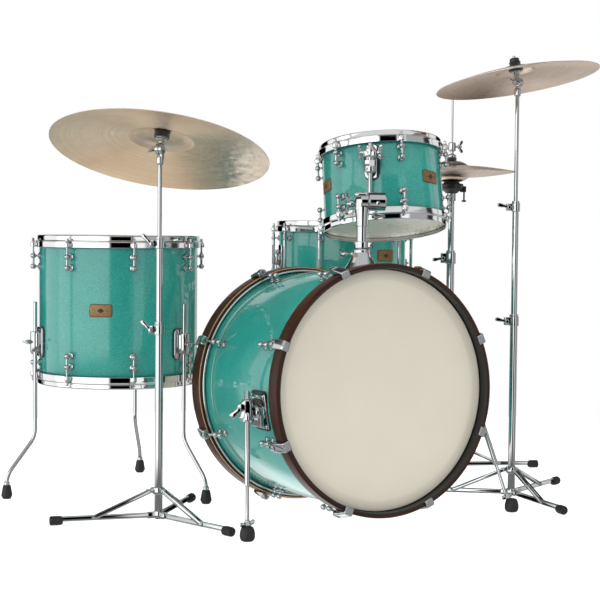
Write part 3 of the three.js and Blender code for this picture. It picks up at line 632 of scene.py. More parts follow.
def lug_stem(chrome_shape, gasket, out, stem, end):
    """A lug's round base on its gasket, with the stem that stands on it."""
    base = LUG.base
    turned(gasket, [(0, -1), (base + 0.5, -1), (base + 0.5, 0.9), (0, 0.9)], out, 20, 0.3, 1)
    profile = [(0, 0.6), (base, 0.6), (base - 0.4, 2.4), (4.6, 3.4), (stem, 5.4), (stem, end), (0, end)]
    turned(chrome_shape, profile, out, 20, 0.8)


def ball_lug(chrome_shape, gasket, matrix):
    """Two balls on stems with round bases, joined by a tube. X points out of the shell."""
    for side in (1, -1):
        out = matrix @ shift(0, 0, side * LUG.spread) @ spin(90, "Y")
        lug_stem(chrome_shape, gasket, out, LUG.stem, 12)
        ball(chrome_shape, LUG.ball, matrix @ shift(LUG.reach, 0, side * LUG.spread))
    drum_post(chrome_shape, LUG.tube, -LUG.spread, LUG.spread,
              matrix @ shift(LUG.reach, 0, 0), 14)


def tension_rod(shape, matrix, length):
    """A tension rod along Z from its lug, with a washer and a square head at its end."""
    drum_post(shape, ROD.radius, 0, length + 3, matrix, 12, 0.3)
    drum_post(shape, 3.4, 0, 6, matrix, 14, 0.5)
    turned(shape, [(0, length), (ROD.washer, length), (ROD.washer, length + 1.5),
                   (ROD.collar, length + 1.8), (ROD.collar - 0.6, length + 4.4), (0, length + 4.4)],
           matrix, 16, 0.5)
    key = ROD.key
    block(shape, (-key, -key, length + 4), (key, key, length + 12), matrix, 0.6, 0.7)


def build_shell(drum, body, place):
    """The shell with rounded bearing edges: lacquer outside, bare wood inside."""
    half = drum.depth / 2
    outer, inner = drum.radius, drum.radius - drum.wall
    shape = Shape()
    rim = [(outer - 2.4, half), (outer - 0.7, half - 0.9), (outer, half - 3)]
    outside = rim + [(r, -z) for r, z in rim[::-1]]
    edge = [(inner + 1.2, -half + 1.2), (inner, -half + 5), (inner, half - 5), (inner + 1.2, half - 1.2)]
    segments = 160
    lathe(shape, outside + edge, IDENTITY, segments)
    first_inside = (len(outside) - 1) * segments
    for index in range(first_inside, len(shape.faces)):
        shape.slots[index] = 1
    name = drum.name
    piece(f"{name}_shell_body", body, shape, ["shell_lacquer", "ply"], place, [f"{name}_shell"])


def build_lugs(drum, body, place):
    """Every double-ball lug on a drum, and the gaskets under them."""
    lugs, gaskets = Shape(), Shape()
    for turn in lug_turns(drum):
        for side in (1, -1):
            ball_lug(lugs, gaskets, spin(turn) @ shift(drum.radius, 0, side * drum.lug_z))
    piece(f"{drum.name}_lugs", body, lugs, "chrome_hardware", place)
    piece(f"{drum.name}_lug_gaskets", body, gaskets, "black_plastic", place)


def hoop_profile(drum, side):
    """A flanged hoop: skirt, step, upper band and an inturned top lip. z is the drum's own."""
    base = drum.depth / 2 + FILM
    radius = drum.radius
    seat, skirt, rise, wall = HOOP.seat, HOOP.skirt, HOOP.rise, HOOP.wall
    corners = [
        (seat, skirt), (seat + wall, skirt), (seat + wall, -6.4), (seat + wall + 0.7, -5.2),
        (seat + wall + 0.7, -3.6), (5.2, -2.2), (5.2, rise - 2.4), (4.2, rise), (1.4, rise),
        (1.2, rise - 1.6), (HOOP.lip, rise - 3.4), (HOOP.lip, -1.2), (seat, -5.4),
    ]
    return [(radius + r, side * (base + z)) for r, z in corners]


def build_steel_hoop(drum, side, body, place, node_name):
    """A steel hoop with its ears, and the tension rods that pull it."""
    base = drum.depth / 2 + FILM
    reach = drum.radius + LUG.reach
    shape, rods = Shape(), Shape()
    turned(shape, hoop_profile(drum, side), IDENTITY, 144, 1.1)
    low, high = base + HOOP.skirt + 1, base + HOOP.skirt + 10
    for turn in lug_turns(drum):
        way = spin(turn)
        bottom, top = (low, high) if side == 1 else (-high, -low)
        neck = rounded_rect(14, 14, 4, 4, (drum.radius + 14, 0))
        prism(shape, neck, bottom, top, way, 1.2)
        pipe(shape, 7.4, 2.9, bottom - 0.8, top + 0.8, way @ shift(reach, 0, 0), 20, 0.8)
        lug_end = drum.lug_z + (LUG.spread + 5 if drum.name != "snare" else 0)
        rod_frame = way @ shift(reach, 0, side * lug_end)
        if side == -1:
            rod_frame = rod_frame @ spin(180, "X")
        tension_rod(rods, rod_frame, high + 1 - lug_end)
    end = "batter" if side == 1 else "resonant"
    piece(f"{drum.name}_{end}_hoop_rim", body, shape, "hoop_chrome", place, [node_name])
    piece(f"{drum.name}_{end}_rods", body, rods, "chrome_hardware", place)


def build_head(drum, side, body, place, finish, replaces=()):
    """A film with its rolled collar, and the flesh ring that holds it."""
    base = drum.depth / 2 + FILM
    radius = drum.radius
    film, ring = Shape(), Shape()
    collar = [(0, base + 0.8), (radius - 3.5, base + 0.8), (radius + 0.6, base + 0.2),
              (radius + 1.6, base - 2.4), (radius + 1.6, base - 8), (radius + 1.2, base - 8),
              (radius + 1.0, base - 1), (radius - 4, base), (0, base)]
    lathe(film, [(r, z * side) for r, z in collar], IDENTITY, 144)
    pipe(ring, radius + 6.2, radius + 1.9, side * (base - 12), side * (base - 5.8), IDENTITY, 120, 1.2, 3)
    end = "batter" if side == 1 else "resonant"
    piece(f"{drum.name}_{end}_film", body, film, finish, place, replaces)
    piece(f"{drum.name}_{end}_flesh_ring", body, ring, "hoop_chrome", place)


def build_badge(drum, body, place, turn, z, name):
    """A curved rounded plate with a dark rim and a plain ornament, on the shell."""
    width, height, thick = BADGE.width, BADGE.height, BADGE.thick
    radius = drum.radius
    plate, trim = Shape(), Shape()
    prism(trim, rounded_rect(width, height, 5), 0.2, thick * 0.7, IDENTITY, 0.4)
    prism(plate, rounded_rect(width - 2.6, height - 2.6, 4), thick * 0.5, thick, IDENTITY, 0.4)
    diamond = [(0, -6.5), (9.5, 0), (0, 6.5), (-9.5, 0)]
    prism(trim, softened(diamond, 1.5), thick * 0.8, thick + 0.45, IDENTITY, 0.2)
    for side in (1, -1):
        drum_post(trim, 1.2, thick * 0.8, thick + 0.5, shift(side * 14, 0, 0), 10, 0.2)
    frame_here = spin(turn) @ shift(0, 0, z) @ spin(90, "Z") @ spin(90, "X")
    for shape in (plate, trim):
        subdivide_flat(shape, BADGE.strip)
        curved = []
        for vert in shape.verts:
            angle = vert.x / radius
            depth = radius + vert.z
            curved.append(frame_here @ Vector((depth * math.sin(angle), vert.y, depth * math.cos(angle))))
        shape.verts = curved
    piece(f"{name}_plate", body, plate, "badge_metal", place)
    piece(f"{name}_rim", body, trim, "enamel", place)


def subdivide_flat(shape, step):
    """Cuts a flat shape into strips across X, so that it can be curved round a shell."""
    work = bmesh.new()
    verts = [work.verts.new(vert) for vert in shape.verts]
    for face in shape.faces:
        work.faces.new([verts[index] for index in face])
    low = min(vert.x for vert in shape.verts)
    high = max(vert.x for vert in shape.verts)
    at = low + step
    while at < high - step * 0.5:
        bmesh.ops.bisect_plane(work, geom=work.verts[:] + work.edges[:] + work.faces[:],
                               plane_co=(at, 0, 0), plane_no=(1, 0, 0))
        at += step
    work.verts.index_update()
    shape.verts = [vert.co.copy() for vert in work.verts]
    shape.faces = [[vert.index for vert in face.verts] for face in work.faces]
    shape.slots = [0] * len(shape.faces)
    work.free()


# ---------------------------------------------------------------- bass drum
def build_wood_hoop(side, place, node_name):
    """A dark hoop with a bare ply line at its edge next to the shell, and painted shade: black on its bore,
    on a band at the inner edge of its face and on the inner part of its back.
    """
    face = side * BASS.length / 2
    back = face - side * BASS.hoop_width
    shape = Shape()
    bore, hoop = BASS.bore, BASS.hoop
    line, painted_shade_edge = hoop - 5, bore + 4.5
    turned(shape, [(bore, face), (painted_shade_edge, face), (hoop, face), (hoop, back), (line, back), (bore, back)],
           IDENTITY, 192, 2.6, 4)
    for index, corners in enumerate(shape.faces):
        radii = [math.hypot(shape.verts[corner].x, shape.verts[corner].y) for corner in corners]
        on_back = max(abs(shape.verts[corner].z - back) for corner in corners) < 0.6
        if on_back and min(radii) > line - 1.5:
            shape.slots[index] = 1
        # painted shade: the bore, the face's inner band and the back's inner part take the black slot, where
        # shade falls inside the hoop
        if max(radii) < painted_shade_edge + 0.5 or (on_back and max(radii) < line + 1.5):
            shape.slots[index] = 2
    piece(f"{node_name}_ring", "kit", shape, ["hoop_wood", "ply", "black_plastic"], place, [node_name])


def claw(shape, rods, pads, side, turn):
    """A cast claw over the hoop with its tension rod down to the lug. X points out, Z along the drum."""
    way = spin(turn) @ (IDENTITY if side == 1 else spin(180, "X"))
    hoop, face = BASS.hoop, BASS.length / 2
    back = face - BASS.hoop_width
    hook = [(hoop - 12.6, face + 0.4), (hoop - 12.6, face + 3.4), (hoop + 3.5, face + 4.4),
            (hoop + 6.5, face + 1), (hoop + 9, face - 9), (hoop + 13, back + 12), (hoop + 13, back - 4),
            (hoop + 9, back - 7),
            (hoop + 2, back - 7), (hoop + 0.5, back - 3), (hoop + 0.5, face + 0.4)]
    lean = way @ spin(90, "X")
    prism(shape, softened(hook, 2.2), -11.5, 11.5, lean, 2.4, 3)
    pipe(shape, 8.8, 3.3, back - 10, back + 6, way @ shift(hoop + 8, 0, 0), 24, 1.2)
    prism(pads, softened([(hoop - 11, face + 0.1), (hoop - 11, face + 0.5), (hoop + 0.6, face + 0.5),
                          (hoop + 0.6, back - 1), (hoop + 0.2, back - 1), (hoop + 0.2, face + 0.1)], 0.2),
          -10, 10, lean, 0.2, 1)
    start = way @ Vector((BASS.radius + LUG.reach, 0, BASS.lug_z + LUG.spread + 5))
    end = way @ Vector((hoop + 8, 0, back + 8))
    bar(rods, start, end, 3.0)
    bar(rods, start, start.lerp(end, 0.12), 4.0)
    square_bolt(rods, Matrix.Translation(end) @ aim(start, end).to_3x3().to_4x4(), 5)


def build_bass():
    """The bass drum: shell, lugs, claws, wooden hoops and heads."""
    place = drum_frame("bass_batter_hoop", "bass_front_hoop")
    build_shell(BASS, "kit", place)
    build_lugs(BASS, "kit", place)
    claws, rods, pads = Shape(), Shape(), Shape()
    for side in (1, -1):
        for turn in lug_turns(BASS):
            claw(claws, rods, pads, side, turn)
    piece("bass_claws", "kit", claws, "chrome_hardware", place)
    piece("bass_rods", "kit", rods, "chrome_hardware", place)
    piece("bass_claw_pads", "kit", pads, "rubber", place)
    build_wood_hoop(1, place, "bass_batter_hoop")
    build_wood_hoop(-1, place, "bass_front_hoop")
    for side, node_name in ((1, "bass_batter_head"), (-1, "bass_front_head")):
        build_bass_head(side, place, node_name)
    return place


def build_bass_head(side, place, node_name):
    """A bass head: flat film, a ridge near its edge, a long collar and the ring behind the hoop."""
    base = BASS.depth / 2 + FILM
    radius = BASS.radius
    back = BASS.length / 2 - BASS.hoop_width
    film, ring = Shape(), Shape()
    outline = [(0, base + 0.8), (radius - 26, base + 0.8), (radius - 23, base + 1.3),
               (radius - 20, base + 0.8), (radius - 3, base + 0.8), (radius + 1.2, base - 0.4),
               (radius + 2, base - 4), (radius + 2, back - 2), (radius + 1.5, back - 2),
               (radius + 1.4, base - 4), (radius, base - 0.6), (radius - 4, base), (0, base)]
    lathe(film, [(r, z * side) for r, z in outline], IDENTITY, 192)
    pipe(ring, radius + 7.6, radius + 2.2, side * (back - 10), side * (back - 0.5), IDENTITY, 160, 2, 3)
    piece(f"{node_name}_film", "kit", film, "drumhead", place, [node_name])
    piece(f"{node_name}_flesh_ring", "kit", ring, "hoop_chrome", place)


def spur_plate(side):
    """The bracket on the side of the bass shell: a flared cast plate round a dark inset, with four bolts."""
    shape, inlay = Shape(), Shape()
    outward = shift(0, SPUR.plate_back, 0) @ spin(side * SPUR.plate_turn, "Y")
    rim = [(-43, -32), (43, -32), (37, -18), (37, 18), (43, 32), (-43, 32), (-37, 18), (-37, -18)]
    prism(shape, softened(rim, 7), -24, -7, outward, 2.5, 3)
    prism(inlay, rounded_rect(92, 70, 9), -24, -9, outward, 1)
    prism(inlay, rounded_rect(58, 50, 7), -9, -5.2, outward, 1.2)
    for x in (-35, 35):
        bar(shape, (x, -20, -7), (x, 20, -7), 4.6, outward, 16, 1)
        for y in (-25, 25):
            bolt = [(0, -9), (5, -9), (5, -5), (3.4, -3.6), (0, -3.6)]
            turned(shape, bolt, outward @ shift(x, y, 0), 16, 0.5)
    prism(shape, softened([(0, -30), (34, -22), (34, 30), (18, 12), (0, 4)], 5), -8, 3,
          outward @ (spin(180, "X") if side < 0 else IDENTITY) @ spin(180 if side < 0 else 0), 3, 3)
    turned(shape, [(0, -8), (19, -8), (17.5, -0.6), (0, -0.6)], spin(side * 90, "Y"), 28, 1.5)
    return shape, inlay


def spur_clamp(shape, crossing, run, side):
    """The cast clamp round the spur's tube, with its eye bolt and the thumb lever that hangs in front."""
    along = aim(crossing - run.normalized() * 20, crossing)
    pipe(shape, 11, 5, 0, 54, along, 28, 3)
    front = Matrix.Translation(crossing) @ spin(30 * side) @ spin(90, "X")
    outline = [(3, 32), (-7, 31), (-10.4, 21), (-10.4, -8), (-5, -15), (14, -17), (21, -11), (14, -2),
               (18, 7), (19, 20), (9, 30)]
    prism(shape, softened([(x * side, y) for x, y in outline], 4.5, True, 3), -12, 11, front, 4.5, 4)
    drum_post(shape, 9.5, 8, 17, front @ shift(13 * side, 13, 0), 24, 2)
    drum_post(shape, 6, -20, -8, front @ shift(-2 * side, 6, 0), 20, 1.4)
    lever = front @ shift(14 * side, 12, 9) @ spin(-42 if side > 0 else 222)
    blade = [(0, -7), (14, -6), (25, -8.5), (31, -5), (31, 5), (25, 8.5), (14, 6), (0, 7)]
    prism(shape, softened(blade, 5, True, 4), 2, 10, lever, 3, 3)


def build_spur(side, name):
    """A spur: pivot disc, clamp with its lever, tube, tip, wing nut and rubber foot."""
    plate, inlay = spur_plate(side)
    place = Matrix.Translation(hinge(f"{name}_fold"))
    piece(f"{name}_bracket", "kit", plate, "chrome_hardware", place)
    piece(f"{name}_bracket_inlay", "kit", inlay, "black_plastic", place)
    foot, crossing = Vector(SPUR.foot), Vector(SPUR.crossing)
    foot.x, crossing.x = foot.x * side, crossing.x * side
    run = crossing - foot
    top = crossing + run.normalized() * SPUR.above
    elbow, ankle = foot.lerp(crossing, 0.42), foot.lerp(crossing, 0.1)
    shape, rubber = Shape(), Shape()
    outward = spin(90, "Y") if side > 0 else spin(-90, "Y")
    turned(shape, [(0, 0.4), (17, 0.4), (17, 10), (14, 16), (0, 16)], outward, 30, 2)
    spur_clamp(shape, crossing, run, side)
    bar(shape, elbow, top, SPUR.tube, IDENTITY, 22, 1.2)
    bar(shape, ankle, elbow + run * 0.03, SPUR.tip, IDENTITY, 16, 0.5)
    nut = Matrix.Translation(foot + run * 0.125) @ spin(28)
    turned(shape, [(0, -3), (8.5, -3), (10, 0), (6, 7), (5, 11), (0, 11)], nut, 20, 1.5)
    for way in (1, -1):
        wing = [(4, -2), (12, -3), (25, -2), (28, 4), (24, 9), (16, 7), (8, 5), (4, 7)]
        prism(shape, softened([(x * way, z) for x, z in wing], 3), -2, 2, nut @ spin(90, "X"), 1.3)
    boot = [(0, 0), (SPUR.foot_radius - 4, 0), (SPUR.foot_radius, 7), (SPUR.foot_radius, 19),
            (SPUR.foot_radius - 4, SPUR.foot_height - 2), (0, SPUR.foot_height)]
    turned(rubber, boot, shift(foot.x, foot.y, foot.z), 28, 5)
    piece(f"{name}_arm", name, shape, "chrome_hardware", place, [name])
    piece(f"{name}_boot", name, rubber, "rubber", place)


# ---------------------------------------------------------------- tom holder
def holder_frame():
    """The tom post's axis at floor level, with X along the holder's tilt axis."""
    post = hinge("tom_holder_swivel")
    across = Vector(JOINTS["tom_holder_tilt"]["axis"])
    turn = math.atan2(across.y, across.x)
    return Matrix.Translation((post.x, post.y, 0)) @ Matrix.Rotation(turn, 4, "Z")


def holder_disc(shape, axis_z, low, high, radius, edge=2.0):
    """A thick disc about the holder's tilt axis."""
    drum_post(shape, radius, low, high, shift(0, 0, axis_z) @ spin(90, "Y"), 44, edge, 4)


def build_holder():
    """Everything between the bass drum and the rack tom."""
    place = holder_frame()
    axis_z = hinge("tom_holder_tilt").z / MM
    build_holder_base(place)
    build_post(place, axis_z)
    build_head_block(place, axis_z)
    build_arm(place, axis_z)
    build_rack_bracket(place)


def build_post(place, axis_z):
    """The sliding post with its memory collar."""
    post, top = Shape(), HOLDER.base_top
    drum_post(post, HOLDER.post, HOLDER.post_low, axis_z + 9, IDENTITY, 32, 1.2)
    pipe(post, 19.5, 11, top + 0.6, top + 17, IDENTITY, 36, 1.6)
    block(post, (15, -7, top + 2), (26, 7, top + 15.5), spin(-20), 1.5, 2)
    square_bolt(post, shift(20, -9, top + 9) @ spin(90, "X"), 5)
    piece("tom_post_tube", "tom_post", post, "chrome_hardware", place, ["tom_post"])


def build_head_block(place, axis_z):
    """The casting that turns on the post, with its wing bolt, and a black disc in the gap under its top
    block: painted shade.
    """
    head, slot = Shape(), Shape()
    turned(head, [(12.8, axis_z - 59), (14.6, axis_z - 59), (15, axis_z - 42), (18.4, axis_z - 18),
                  (18.4, axis_z + 6), (12.8, axis_z + 6)], IDENTITY, 40, 1.5)
    block(head, (HOLDER.left - 3, -20, axis_z + 9), (HOLDER.split, 20, axis_z + HOLDER.block),
          IDENTITY, 5, 6)
    holder_disc(head, axis_z, -4, HOLDER.split, HOLDER.block)
    # painted shade: a black disc fills the gap between the turned body and the top block, where shade falls
    drum_post(slot, 15.6, axis_z + 2, axis_z + 10, IDENTITY, 36, 0.5)
    outward = spin(-90, "Y")
    drum_post(head, 8.5, 0, 12, shift(HOLDER.left - 2, 0, axis_z - 6) @ outward, 24, 1.5)
    wing_bolt(head, shift(HOLDER.left - 4, 0, axis_z - 6) @ outward @ spin(-18), 5, 54, 6.5)
    piece("tom_head_casting", "tom_head", head, "chrome_hardware", place, ["tom_head_block"])
    piece("tom_head_slot", "tom_head", slot, "black_plastic", place)


def build_arm(place, axis_z):
    """The tilting disc and the L-rod that carries the rack tom."""
    arm, caps = Shape(), Shape()
    holder_disc(arm, axis_z, HOLDER.split + 1, HOLDER.right, HOLDER.block)
    holder_disc(arm, axis_z, HOLDER.right - 1, HOLDER.right + 2, HOLDER.block - 6, 1.2)
    square_bolt(arm, shift(HOLDER.right - 18, -HOLDER.block + 1, axis_z - 4) @ spin(90, "X"), 5)
    holder_disc(caps, axis_z, HOLDER.split - 0.4, HOLDER.split + 1.4, HOLDER.block - 1.5, 0.3)
    side, depth = HOLDER.across, HOLDER.depth
    path = bent([(side, -4, axis_z), (side, depth, axis_z), (side, depth, HOLDER.rod_top)],
                HOLDER.bend, 10)
    sweep(arm, path, HOLDER.rod, IDENTITY, 20, 1.4)
    piece("tom_arm_casting", "tom_arm", arm, "chrome_hardware", place, ["tom_arm"])
    piece("tom_arm_washer", "tom_arm", caps, "black_plastic", place)


def build_holder_base(place):
    """The flared base on the bass shell with its seam and T-bolt."""
    base, seal = Shape(), Shape()
    top = HOLDER.base_top
    flare = [(13.2, top), (20, top), (21.5, top - 9), (25, top - 20), (32, top - 33), (41, top - 46),
             (47, top - 56), (47, top - 61), (13.2, top - 61)]
    turned(base, flare, IDENTITY, 48, 3, 4)
    pipe(base, 24.2, 15, top - 24.5, top - 21.5, IDENTITY, 44, 0.8)
    wing_bolt(base, shift(-23, -3, top - 13) @ spin(-90, "Y") @ spin(60), 14, 34, 4)
    drum_post(base, 6, 14, 26, shift(0, 0, top - 13) @ spin(-90, "Y"), 18, 1)
    pipe(seal, 48.5, 20, top - 66, top - 58, IDENTITY, 48, 1)
    piece("tom_base_casting", "kit", base, "chrome_hardware", place, ["tom_mount_base"])
    piece("tom_base_seal", "kit", seal, "black_plastic", place)


def build_rack_bracket(place):
    """The clamp on the rack tom that takes the L-rod: two jaws, two wing bolts and a rounded back plate."""
    rod = Vector((HOLDER.across, HOLDER.depth, 0))
    low, high = BRACKET.low, BRACKET.high
    here = place @ shift(rod.x * MM, rod.y * MM, 0)
    centre = drum_frame("rack_batter_hoop", "rack_resonant_hoop").translation
    inward = here.inverted() @ centre
    toward = spin(heading(inward))
    shape, gasket = Shape(), Shape()
    pipe(shape, 11.5, 5.6, low, high - 4, IDENTITY, 28, 2)
    pipe(shape, 14, 5.6, high - 26, high - 8, IDENTITY, 30, 2.5)
    pipe(shape, 14, 5.6, low + 2, low + 18, IDENTITY, 30, 2.5)
    block(shape, (4, -12, low + 5), (34, 12, high - 8), toward, 3, 6)
    block(shape, (-13, -17, high - 30), (12, 17, high - 12), toward, 4, 5)
    turned(shape, [(0, high - 8), (7, high - 8), (5.4, high), (2.4, high + 9), (0, high + 9)],
           IDENTITY, 20, 1.5)
    drum_post(shape, 13.5, high - 54, high - 36, toward, 6, 1.5)
    wing_bolt(shape, toward @ shift(-4, -13, high - 18) @ spin(90, "X") @ spin(-75), 4, 40, 6)
    wing_bolt(shape, toward @ shift(-4, 13, high - 18) @ spin(-90, "X") @ spin(70), 2, 38, 6)
    square_bolt(shape, toward @ shift(-10, 0, low + 10) @ spin(-90, "Y"), 3)
    reach = inward.to_2d().length / MM - RACK.radius - 1
    lean = toward @ shift(reach, 0, (low + high) / 2 - 6) @ spin(-90, "Y")
    layers = ((gasket, (90, 40), -6, 1.4), (shape, (86, 36), 0.8, 5), (gasket, (74, 24), 4, 5.4))
    for mark, size, low_z, high_z in layers:
        prism(mark, rounded_rect(*size, size[1] / 2 - 1, 10), low_z, high_z, lean, 0.6, 2)
    piece("rack_bracket", "rack_tom", shape, "chrome_hardware", here)
    piece("rack_bracket_gasket", "rack_tom", gasket, "rubber", here)


# ---------------------------------------------------------------- toms and snare
def build_tom(drum, body, hoops):
    """A tom between its two steel hoops. hoops names the upper and the lower one."""
    place = drum_frame(*hoops)
    name = drum.name
    build_shell(drum, body, place)
    build_lugs(drum, body, place)
    build_head(drum, 1, body, place, "drumhead", [f"{name}_batter_head"])
    build_head(drum, -1, body, place, "film")
    build_steel_hoop(drum, 1, body, place, hoops[0])
    build_steel_hoop(drum, -1, body, place, hoops[1])
    return place


def build_floor_legs(place):
    """The three brackets on the floor tom, with the bent legs and boots that slide in them."""
    centre = place.translation
    low, high = FLOOR_LEG.low, FLOOR_LEG.high
    radius, reach = FLOOR.radius, FLOOR_LEG.reach
    out, tall, wide = FLOOR_LEG.foot_reach, FLOOR_LEG.foot_height, FLOOR_LEG.foot
    for index, angle in enumerate(FLOOR_LEG.angles):
        here = Matrix.Translation((centre.x, centre.y, 0)) @ spin(angle)
        bracket, pad, leg, boot = Shape(), Shape(), Shape(), Shape()
        upright = shift(radius, 0, (low + high) / 2) @ spin(90, "Y")
        prism(bracket, rounded_rect(76, 46, 8), 0.8, 7, upright, 2, 3)
        prism(pad, rounded_rect(78, 48, 9), -3, 1.2, upright, 0.4)
        block(bracket, (radius + 3, -15, low + 16), (reach + 4, 15, high - 14), IDENTITY, 3, 6)
        pipe(bracket, 12.5, 5.4, low + 14, high - 12, shift(reach, 0, 0), 30, 2.5)
        grip = shift(reach + 11, 0, (low + high) / 2)
        wing_bolt(bracket, grip @ spin(90, "Y") @ spin(90), 2, 38, 4.5)
        for x in (-30, 30):
            drum_post(bracket, 4.4, 6, 9, upright @ shift(x, 0, 0), 18, 0.8, 3)
        path = bent([(reach, 0, FLOOR_LEG.top), (reach, 0, FLOOR_LEG.bend),
                     (out, 0, FLOOR_LEG.knee), (out, 0, 10)], 22, 8)
        sweep(leg, path, FLOOR_LEG.radius, IDENTITY, 18, 1.5)
        foot = shift(out, 0, 0)
        turned(boot, [(0, 0), (10, 0), (wide, 8.5), (10.4, tall - 3), (8.4, tall), (0, tall)], foot, 10, 1.4)
        turned(leg, [(0, 34), (7.5, 34), (7.5, 42), (5.4, 44), (0, 44)], foot, 20, 0.8)
        piece(f"floor_bracket_{index + 1}", "kit", bracket, "chrome_hardware", here)
        piece(f"floor_bracket_pad_{index + 1}", "kit", pad, "rubber", here)
        name = f"floor_leg_{index + 1}"
        piece(f"{name}_bar", name, leg, "chrome_hardware", here, [name])
        piece(f"{name}_boot", name, boot, "rubber", here)


def build_snare():
    """The snare drum with its long tube lugs, its strainer and its wires."""
    place = drum_frame("snare_batter_hoop", "snare_resonant_hoop")
    build_shell(SNARE, "snare", place)
    build_head(SNARE, 1, "snare", place, "drumhead", ["snare_batter_head"])
    build_head(SNARE, -1, "snare", place, "film")
    build_steel_hoop(SNARE, 1, "snare", place, "snare_batter_hoop")
    build_steel_hoop(SNARE, -1, "snare", place, "snare_resonant_hoop")
    lugs, gaskets = Shape(), Shape()
    for turn in lug_turns(SNARE):
        here = spin(turn) @ shift(SNARE.radius, 0, 0)
        for side in (1, -1):
            out = here @ shift(0, 0, side * (SNARE.lug_z - 12)) @ spin(90, "Y")
            lug_stem(lugs, gaskets, out, 3, 15)
        drum_post(lugs, 4.2, -SNARE.lug_z, SNARE.lug_z, here @ shift(LUG.reach, 0, 0), 18, 1.2)
        for side in (1, -1):
            ball(lugs, 6, here @ shift(LUG.reach, 0, side * (SNARE.lug_z - 12)))
    piece("snare_lugs", "snare", lugs, "chrome_hardware", place)
    piece("snare_lug_gaskets", "snare", gaskets, "black_plastic", place)
    build_strainer(place)
    build_wires(place)


def build_strainer(place):
    """The strainer, its lever and the butt plate on the far side."""
    radius = SNARE.radius
    body, lever, butt = Shape(), Shape(), Shape()
    block(body, (radius + 0.2, -17, -34), (radius + 5, 17, 26), IDENTITY, 1.5, 6)
    block(body, (radius + 4, -11, -30), (radius + 20, 11, 3), IDENTITY, 3, 4)
    drum_post(body, 5.5, 2, 13, shift(radius + 11, 0, 0), 20, 1.2)
    drum_post(body, 7.5, -52, -40, shift(radius + 13, 0, 0), 10, 1.5)
    drum_post(body, 2.4, -42, -28, shift(radius + 13, 0, 0), 12)
    outline = [(-8, -28), (8, -28), (7, -10), (5, 12), (6, 26), (-6, 26), (-5, 12), (-7, -10)]
    turn = Matrix(((0, 0, 1, 0), (1, 0, 0, 0), (0, 1, 0, 0), (0, 0, 0, 1)))
    prism(lever, softened(outline, 4), radius + 20.6, radius + 25.4, turn, 1.4, 3)
    block(butt, (radius + 0.2, -14, -40), (radius + 6, 14, -6), IDENTITY, 2, 5)
    block(butt, (radius + 5, -10, -36), (radius + 14, 10, -12), IDENTITY, 2, 3)
    for y in (-5, 5):
        square_bolt(butt, shift(radius + 13, y, -24) @ spin(90, "Y"), 3)
    here = place @ spin(STRAINER.turn)
    piece("snare_strainer", "snare", body, "chrome_hardware", here)
    piece("snare_strainer_lever", "throw_off_lever", lever, "chrome_hardware", here,
          ["snare_throw_off_lever"])
    piece("snare_butt_plate", "snare", butt, "chrome_hardware", place @ spin(STRAINER.butt))


def build_wires(place):
    """Twenty coiled snare wires under the resonant head, between two end plates."""
    strands = Shape()
    z = -(SNARE.depth / 2 + FILM + 3.2)
    half, coil, steps = WIRES.half, WIRES.coil, WIRES.coils * 4
    for k in range(WIRES.count):
        y = (k - (WIRES.count - 1) / 2) * WIRES.pitch
        path = [(-half + 2 * half * t / steps, y + coil * math.cos(math.pi * t / 2),
                 z + coil * math.sin(math.pi * t / 2)) for t in range(steps + 1)]
        sweep(strands, path, WIRES.wire, IDENTITY, 4, 0.1)
    for side in (1, -1):
        block(strands, (side * half - 7, -23, z - 1.4), (side * half + 7, 23, z + 1.2), IDENTITY, 0.6, 2)
        strap = sorted((side * 130, side * 160))
        block(strands, (strap[0], -9, z - 0.9), (strap[1], 9, z - 0.3), IDENTITY, 0.2, 1)
    piece("snare_wires", "snare", strands, "chrome_hardware", place @ spin(STRAINER.turn))


# ---------------------------------------------------------------- cymbals
def cymbal_height(data, radius):
    """Height of a cymbal's underside at a radius, in millimetres above its hole's rim."""
    hole, bell = CYMBAL_HOLE, data.bell
    if radius <= bell:
        t = (radius - hole) / (bell - hole)
        return -data.rise * (0.42 * t ** 2 + 0.58 * t ** 3.2)
    share = (radius - bell) / (data.radius - bell)
    return -data.rise - data.bow * share ** 1.55


def build_cymbal(data, name, body, place, direction=1, thickness=1.6):
    """A cymbal about its hole. A direction of -1 turns it upside down."""
    hole, bell, edge = CYMBAL_HOLE, data.bell, data.radius
    radii = [hole + (bell - hole) * k / 9 for k in range(10)]
    radii += [bell + (edge - bell) * k / 20 for k in range(1, 21)]
    over = [(r, direction * (cymbal_height(data, r) + thickness)) for r in radii]
    under = [(r, direction * cymbal_height(data, r)) for r in radii]
    rim = [(edge + 0.35, direction * (cymbal_height(data, edge) + thickness * 0.75)),
           (edge + 0.35, direction * (cymbal_height(data, edge) + thickness * 0.25))]
    shape = Shape()
    lathe(shape, over + rim + under[::-1], IDENTITY, 160)
    return piece(f"{name}_plate", body, shape, "cymbal_bronze", place, [name], 30)


# ---------------------------------------------------------------- cymbal stands
def boot_shape(shape, matrix):
    """A ribbed rubber boot on the end of a leg, along X, ending at x = 0."""
    length, radius = TRIPOD.foot_length, TRIPOD.foot
    profile = [(0, 0), (radius - 3.5, 0), (radius - 1.2, 1), (radius, 4)]
    for k in range(3):
        at = 7 + k * 5.5
        profile += [(radius, at), (radius - 0.6, at + 0.7), (radius - 0.6, at + 1.6), (radius, at + 2.3)]
    profile += [(radius - 0.8, length - 3), (radius - 3.5, length), (0, length)]
    lathe(shape, profile, matrix @ spin(-90, "Y"), 28)


def rivet(shape, matrix, half, radius=3.6):
    """A rivet across Y with a domed head on both sides."""
    for way in (90, -90):
        turned(shape, [(0, half - 0.5), (radius, half - 0.5), (radius * 0.85, half + 1.0), (0, half + 1.6)],
               matrix @ spin(way, "X"), 16, 0.8)
    drum_post(shape, radius * 0.6, -half, half, matrix @ spin(90, "X"), 12)


